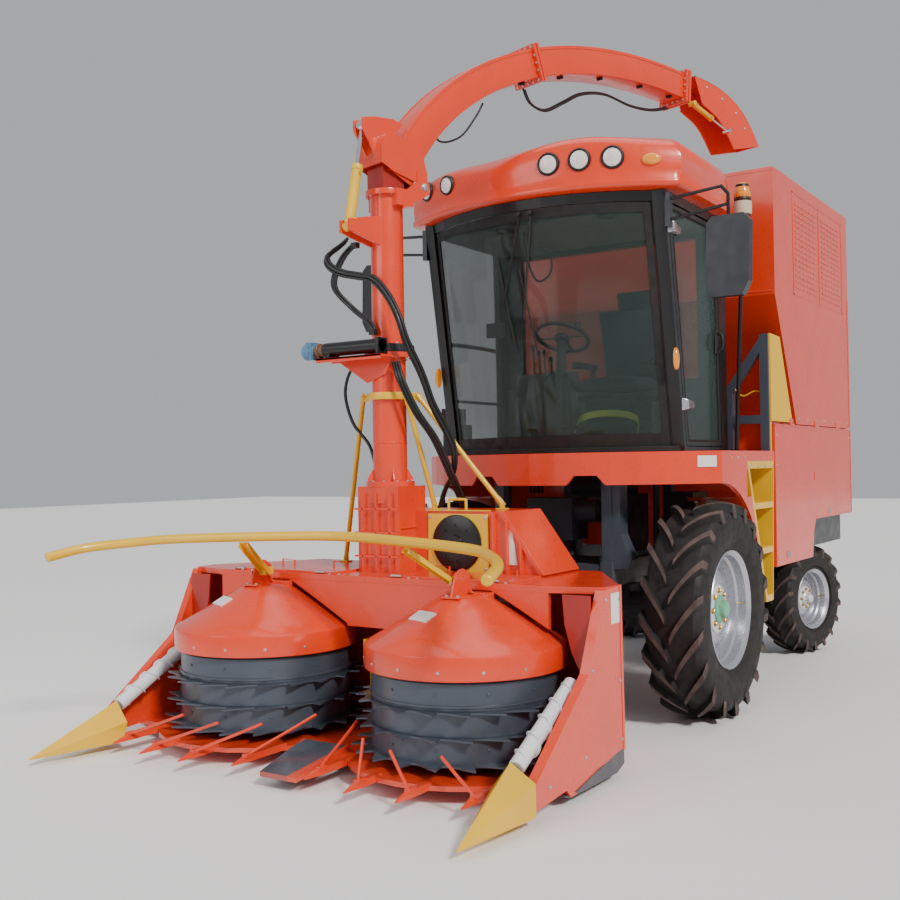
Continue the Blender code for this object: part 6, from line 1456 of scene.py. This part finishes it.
def body_details():
    for side, sign in (("left", 1), ("right", -1)):
        x = sign * BODY_HALF
        lo, hi = sorted((x - sign * 0.001, x + sign * 0.0035))
        # Louvre fields high on the side.
        louvres = []
        for y0, y1 in ((1.62, 2.20), (2.36, 2.94)):
            columns = 6
            for c in range(columns):
                a = y0 + (y1 - y0) * c / columns + 0.008
                b = y0 + (y1 - y0) * (c + 1) / columns - 0.008
                for r in range(16):
                    z = 2.92 + r * 0.042
                    profile = [(0.0, 0.0), (0.0, 0.020), (0.0065, 0.003), (0.0060, 0.0)]
                    louvres.append(loft([[(x - sign * 0.0008 + sign * d, y, z + h) for d, h in profile]
                                         for y in (a, b)]))
        piece(f"louvres_{side}", louvres, "chassis", "red_paint", angle=20)
        # Raised frame round the louvred cover, latches and hinges along the seam.
        y0, y1, z0, z1, wide = 1.56, 3.00, 2.86, 3.64, 0.012
        lines = [box((lo, y0, z0), (hi, y1, z0 + wide)), box((lo, y0, z1 - wide), (hi, y1, z1)),
                 box((lo, y0, z0), (hi, y0 + wide, z1)), box((lo, y1 - wide, z0), (hi, y1, z1)),
                 box((lo, 2.274, z0), (hi, 2.286, z1)), box((lo, 3.155, 1.90), (hi, REAR_WALL, 3.0))]
        piece(f"body_frames_{side}", lines, "chassis", "red_paint", bevel=0.0012)
        bolts = [bolt_row((x + sign * 0.0035, 3.172, 1.96), (x + sign * 0.0035, 3.172, 2.96), 8, (sign, 0, 0), 0.008),
                 bolt_row((x, 1.62, 1.925), (x, 3.05, 1.925), 7, (sign, 0, 0), 0.006)]
        piece(f"body_bolts_{side}", bolts, "chassis", "zinc")
        hinge = []
        for y in (1.43, 2.10, 2.73):
            hinge.append(rod((x + sign * 0.004, y - 0.05, 1.882), (x + sign * 0.004, y + 0.05, 1.882), 0.007, 12))
            hinge.append(around(x + sign * 0.0015, y, 1.905, 0.0022, 0.045, 0.018))
        piece(f"door_hinges_{side}", hinge, "chassis", "red_paint", bevel=0.001)
        latch = []
        for y in (1.30, 2.45):
            z = 0.93 if y < 1.9 else 1.20
            latch.append(turned([(0, 0), (0.028, 0), (0.028, 0.004), (0.020, 0.008), (0, 0.008)], (x, y, z),
                                (sign, 0, 0), 28))
            latch.append(around(x + sign * 0.010, y, z, 0.004, 0.006, 0.020))
        latch.append(bolt_row((x, 1.06, 0.93), (x, 1.06, 1.80), 5, (sign, 0, 0), 0.006))
        latch.append(bolt_row((x, 3.14, 1.24), (x, 3.14, 1.80), 4, (sign, 0, 0), 0.006))
        piece(f"door_latches_{side}", latch, f"side_door_{side}", "zinc")
        folds = [box((lo, 1.014, 0.868), (hi, 1.024, 1.872)), box((lo, 1.014, 1.862), (hi, 3.185, 1.872)),
                 box((lo, 3.175, 1.16), (hi, 3.185, 1.872)), box((lo, 2.06, 1.160), (hi, 3.185, 1.170))]
        if sign > 0:
            folds.append(box((lo, 2.02, 1.46), (hi, 2.12, 1.52)))
        piece(f"door_folds_{side}", folds, f"side_door_{side}", "red_paint", bevel=0.0012)
    # Front wall seams and the top's edge trim; rear wall grille, lamps and a handle.
    seams = [box((-1.08, 1.0865, 2.83), (1.08, 1.0905, 2.842)), box((-0.006, 1.0865, 2.85), (0.006, 1.0905, 3.70)),
             box((-1.095, 0.9975, 1.875), (1.06, 1.0005, 1.884))]
    seams += [box((-1.10, 1.0875, 3.700), (1.10, 1.0905, 3.725))]
    piece("wall_seams", seams, "chassis", "red_paint", bevel=0.0012)
    y = REAR_WALL
    grille = [box((-0.70, y, 2.30 + 0.045 * k), (0.70, y + 0.012, 2.325 + 0.045 * k)) for k in range(26)]
    grille += [box((-0.74, y, 2.27), (-0.70, y + 0.014, 3.49)), box((0.70, y, 2.27), (0.74, y + 0.014, 3.49)),
               box((-0.74, y, 3.47), (0.74, y + 0.014, 3.51)), box((-0.74, y, 2.25), (0.74, y + 0.014, 2.29))]
    piece("rear_grille", grille, "chassis", "black_paint", bevel=0.002)
    rear = [box((-0.90, y, 1.25), (0.90, y + 0.010, 1.262)), box((-0.90, y, 2.10), (0.90, y + 0.010, 2.112)),
            box((-0.90, y, 1.25), (-0.888, y + 0.010, 2.112)), box((0.888, y, 1.25), (0.90, y + 0.010, 2.112))]
    piece("rear_frames", rear, "chassis", "red_paint", bevel=0.002)
    lamps = [around(s * 0.98, y + 0.012, 1.40, 0.055, 0.012, 0.075) for s in (-1, 1)]
    piece("tail_lamps", lamps, "chassis", "amber_lens", bevel=0.008, segments=3)
    handle = [sweep([(s * 0.45, y, 1.72), (s * 0.45, y + 0.04, 1.72), (s * 0.33, y + 0.04, 1.72),
                     (s * 0.33, y, 1.72)], 0.008, 10) for s in (-1, 1)]
    piece("rear_handles", handle, "chassis", "black_plastic")
    # Under the rear: tow eye.
    tow = [turned(quad(0.030, 0.055, -0.012, 0.012), (0.0, 3.07, 0.90), (0, 0, 1), 28),
           around(0.0, 3.035, 0.90, 0.04, 0.015, 0.012)]
    piece("tow_eye", tow, "chassis", "cast_iron", bevel=0.002)


CAD_LOOKS = (("black_paint", 0.006, "cab_frame"), ("black_paint", 0.004, "cab_door"), ("cab_glass", 0, "windscreen"),
             ("side_glass", 0, "right_window rear_window cab_door_glass"), ("header_paint", 0.004, "header_frame"),
             ("header_paint", 0.002, "deck_lid_left deck_lid_right"),
             ("yellow_paint", 0.003, "divider_left divider_right ladder"),
             ("red_paint", 0.004, "chopper_housing platform"), ("red_paint", 0.002, "upper_column"),
             ("red_paint", 0.006, "rear_body"), ("red_paint", 0.005, "side_door_left side_door_right"),
             ("rail_paint", 0.004, "guard_rail"), ("blue_grey_paint", 0.004, "chassis_frame"),
             ("cast_iron", 0.02, "engine"), ("cast_iron", 0.006, "rear_axle"),
             ("cast_iron", 0, "front_axle steering_knuckle_left steering_knuckle_right"),
             ("black_paint", 0, "beacon"), )


def cad_looks():
    for mat, bevel, nodes in CAD_LOOKS:
        for node in nodes.split():
            dress(node, mat, bevel)
    dress("fuel_tank", "black_paint", 0.02, 3)


# ---------------------------------------------------------------- light, floor and camera
FLOOR_SIZE = 80


def stage():
    scene = bpy.context.scene
    bpy.ops.mesh.primitive_plane_add(size=FLOOR_SIZE, location=(0, 0, 0))
    floor = bpy.context.object
    floor.name = "floor"
    mat = bpy.data.materials.new("floor")
    mat.use_nodes = True
    shader = mat.node_tree.nodes["Principled BSDF"]
    shader.inputs["Base Color"].default_value = (0.86, 0.86, 0.86, 1)
    shader.inputs["Roughness"].default_value = 0.9
    floor.data.materials.append(mat)
    world = bpy.data.worlds.new("studio")
    scene.world = world
    world.use_nodes = True
    background = world.node_tree.nodes["Background"]
    background.inputs["Color"].default_value = (0.92, 0.95, 1.0, 1)
    background.inputs["Strength"].default_value = 0.5

    def light(name, kind, energy, place, target, size=None, colour=(1, 1, 1)):
        data = bpy.data.lights.new(name, kind)
        data.energy = energy
        data.color = colour
        if kind == "AREA":
            data.shape = "DISK"
            data.size = size
        else:
            data.angle = size
        obj = bpy.data.objects.new(name, data)
        obj.location = place
        obj.rotation_euler = (Vector(target) - Vector(place)).to_track_quat("-Z", "Y").to_euler()
        scene.collection.objects.link(obj)

    light("sun", "SUN", 3.1, (9, -4.5, 8.5), (0, 0, 1), math.radians(9), (1.0, 0.96, 0.90))
    light("front_fill", "AREA", 200, (-3.5, -9, 5.5), (0, -1, 1.5), 6.0)
    light("top_fill", "AREA", 160, (0, 0, 10), (0, 0, 0), 7.0)


LENS, SENSOR = 43.97, 36
CAMERA_PLACE = (3.4632, -6.7421, 1.6178)
YAW, PITCH, ROLL = 33.402, 0.809, 0.909


def camera():
    """Stands where the photo was taken from."""
    yaw, pitch, roll = (math.radians(a) for a in (YAW, PITCH, ROLL))
    forward = Vector((-math.sin(yaw) * math.cos(pitch), math.cos(yaw) * math.cos(pitch), math.sin(pitch)))
    right = Vector((math.cos(yaw), math.sin(yaw), 0))
    up = right.cross(forward)
    across_view = math.cos(roll) * right - math.sin(roll) * up
    up_view = math.sin(roll) * right + math.cos(roll) * up
    matrix = Matrix((across_view, up_view, -forward)).transposed().to_4x4()
    matrix.translation = Vector(CAMERA_PLACE) + SHIFT
    data = bpy.data.cameras.new("camera")
    data.lens = LENS
    data.sensor_width = SENSOR
    obj = bpy.data.objects.new("camera", data)
    obj.matrix_world = matrix
    bpy.context.scene.collection.objects.link(obj)
    bpy.context.scene.camera = obj


for step in (camera, cad_looks, wheels, covers, drums, rollers, header_details, guide_bar, chopper_details,
             slew_drive, struts, spout, flap, turret_details, hoses, cylinders, roof, cab_details, interior,
             mirrors_and_beacon, platform_details, body_details, stage):
    step()
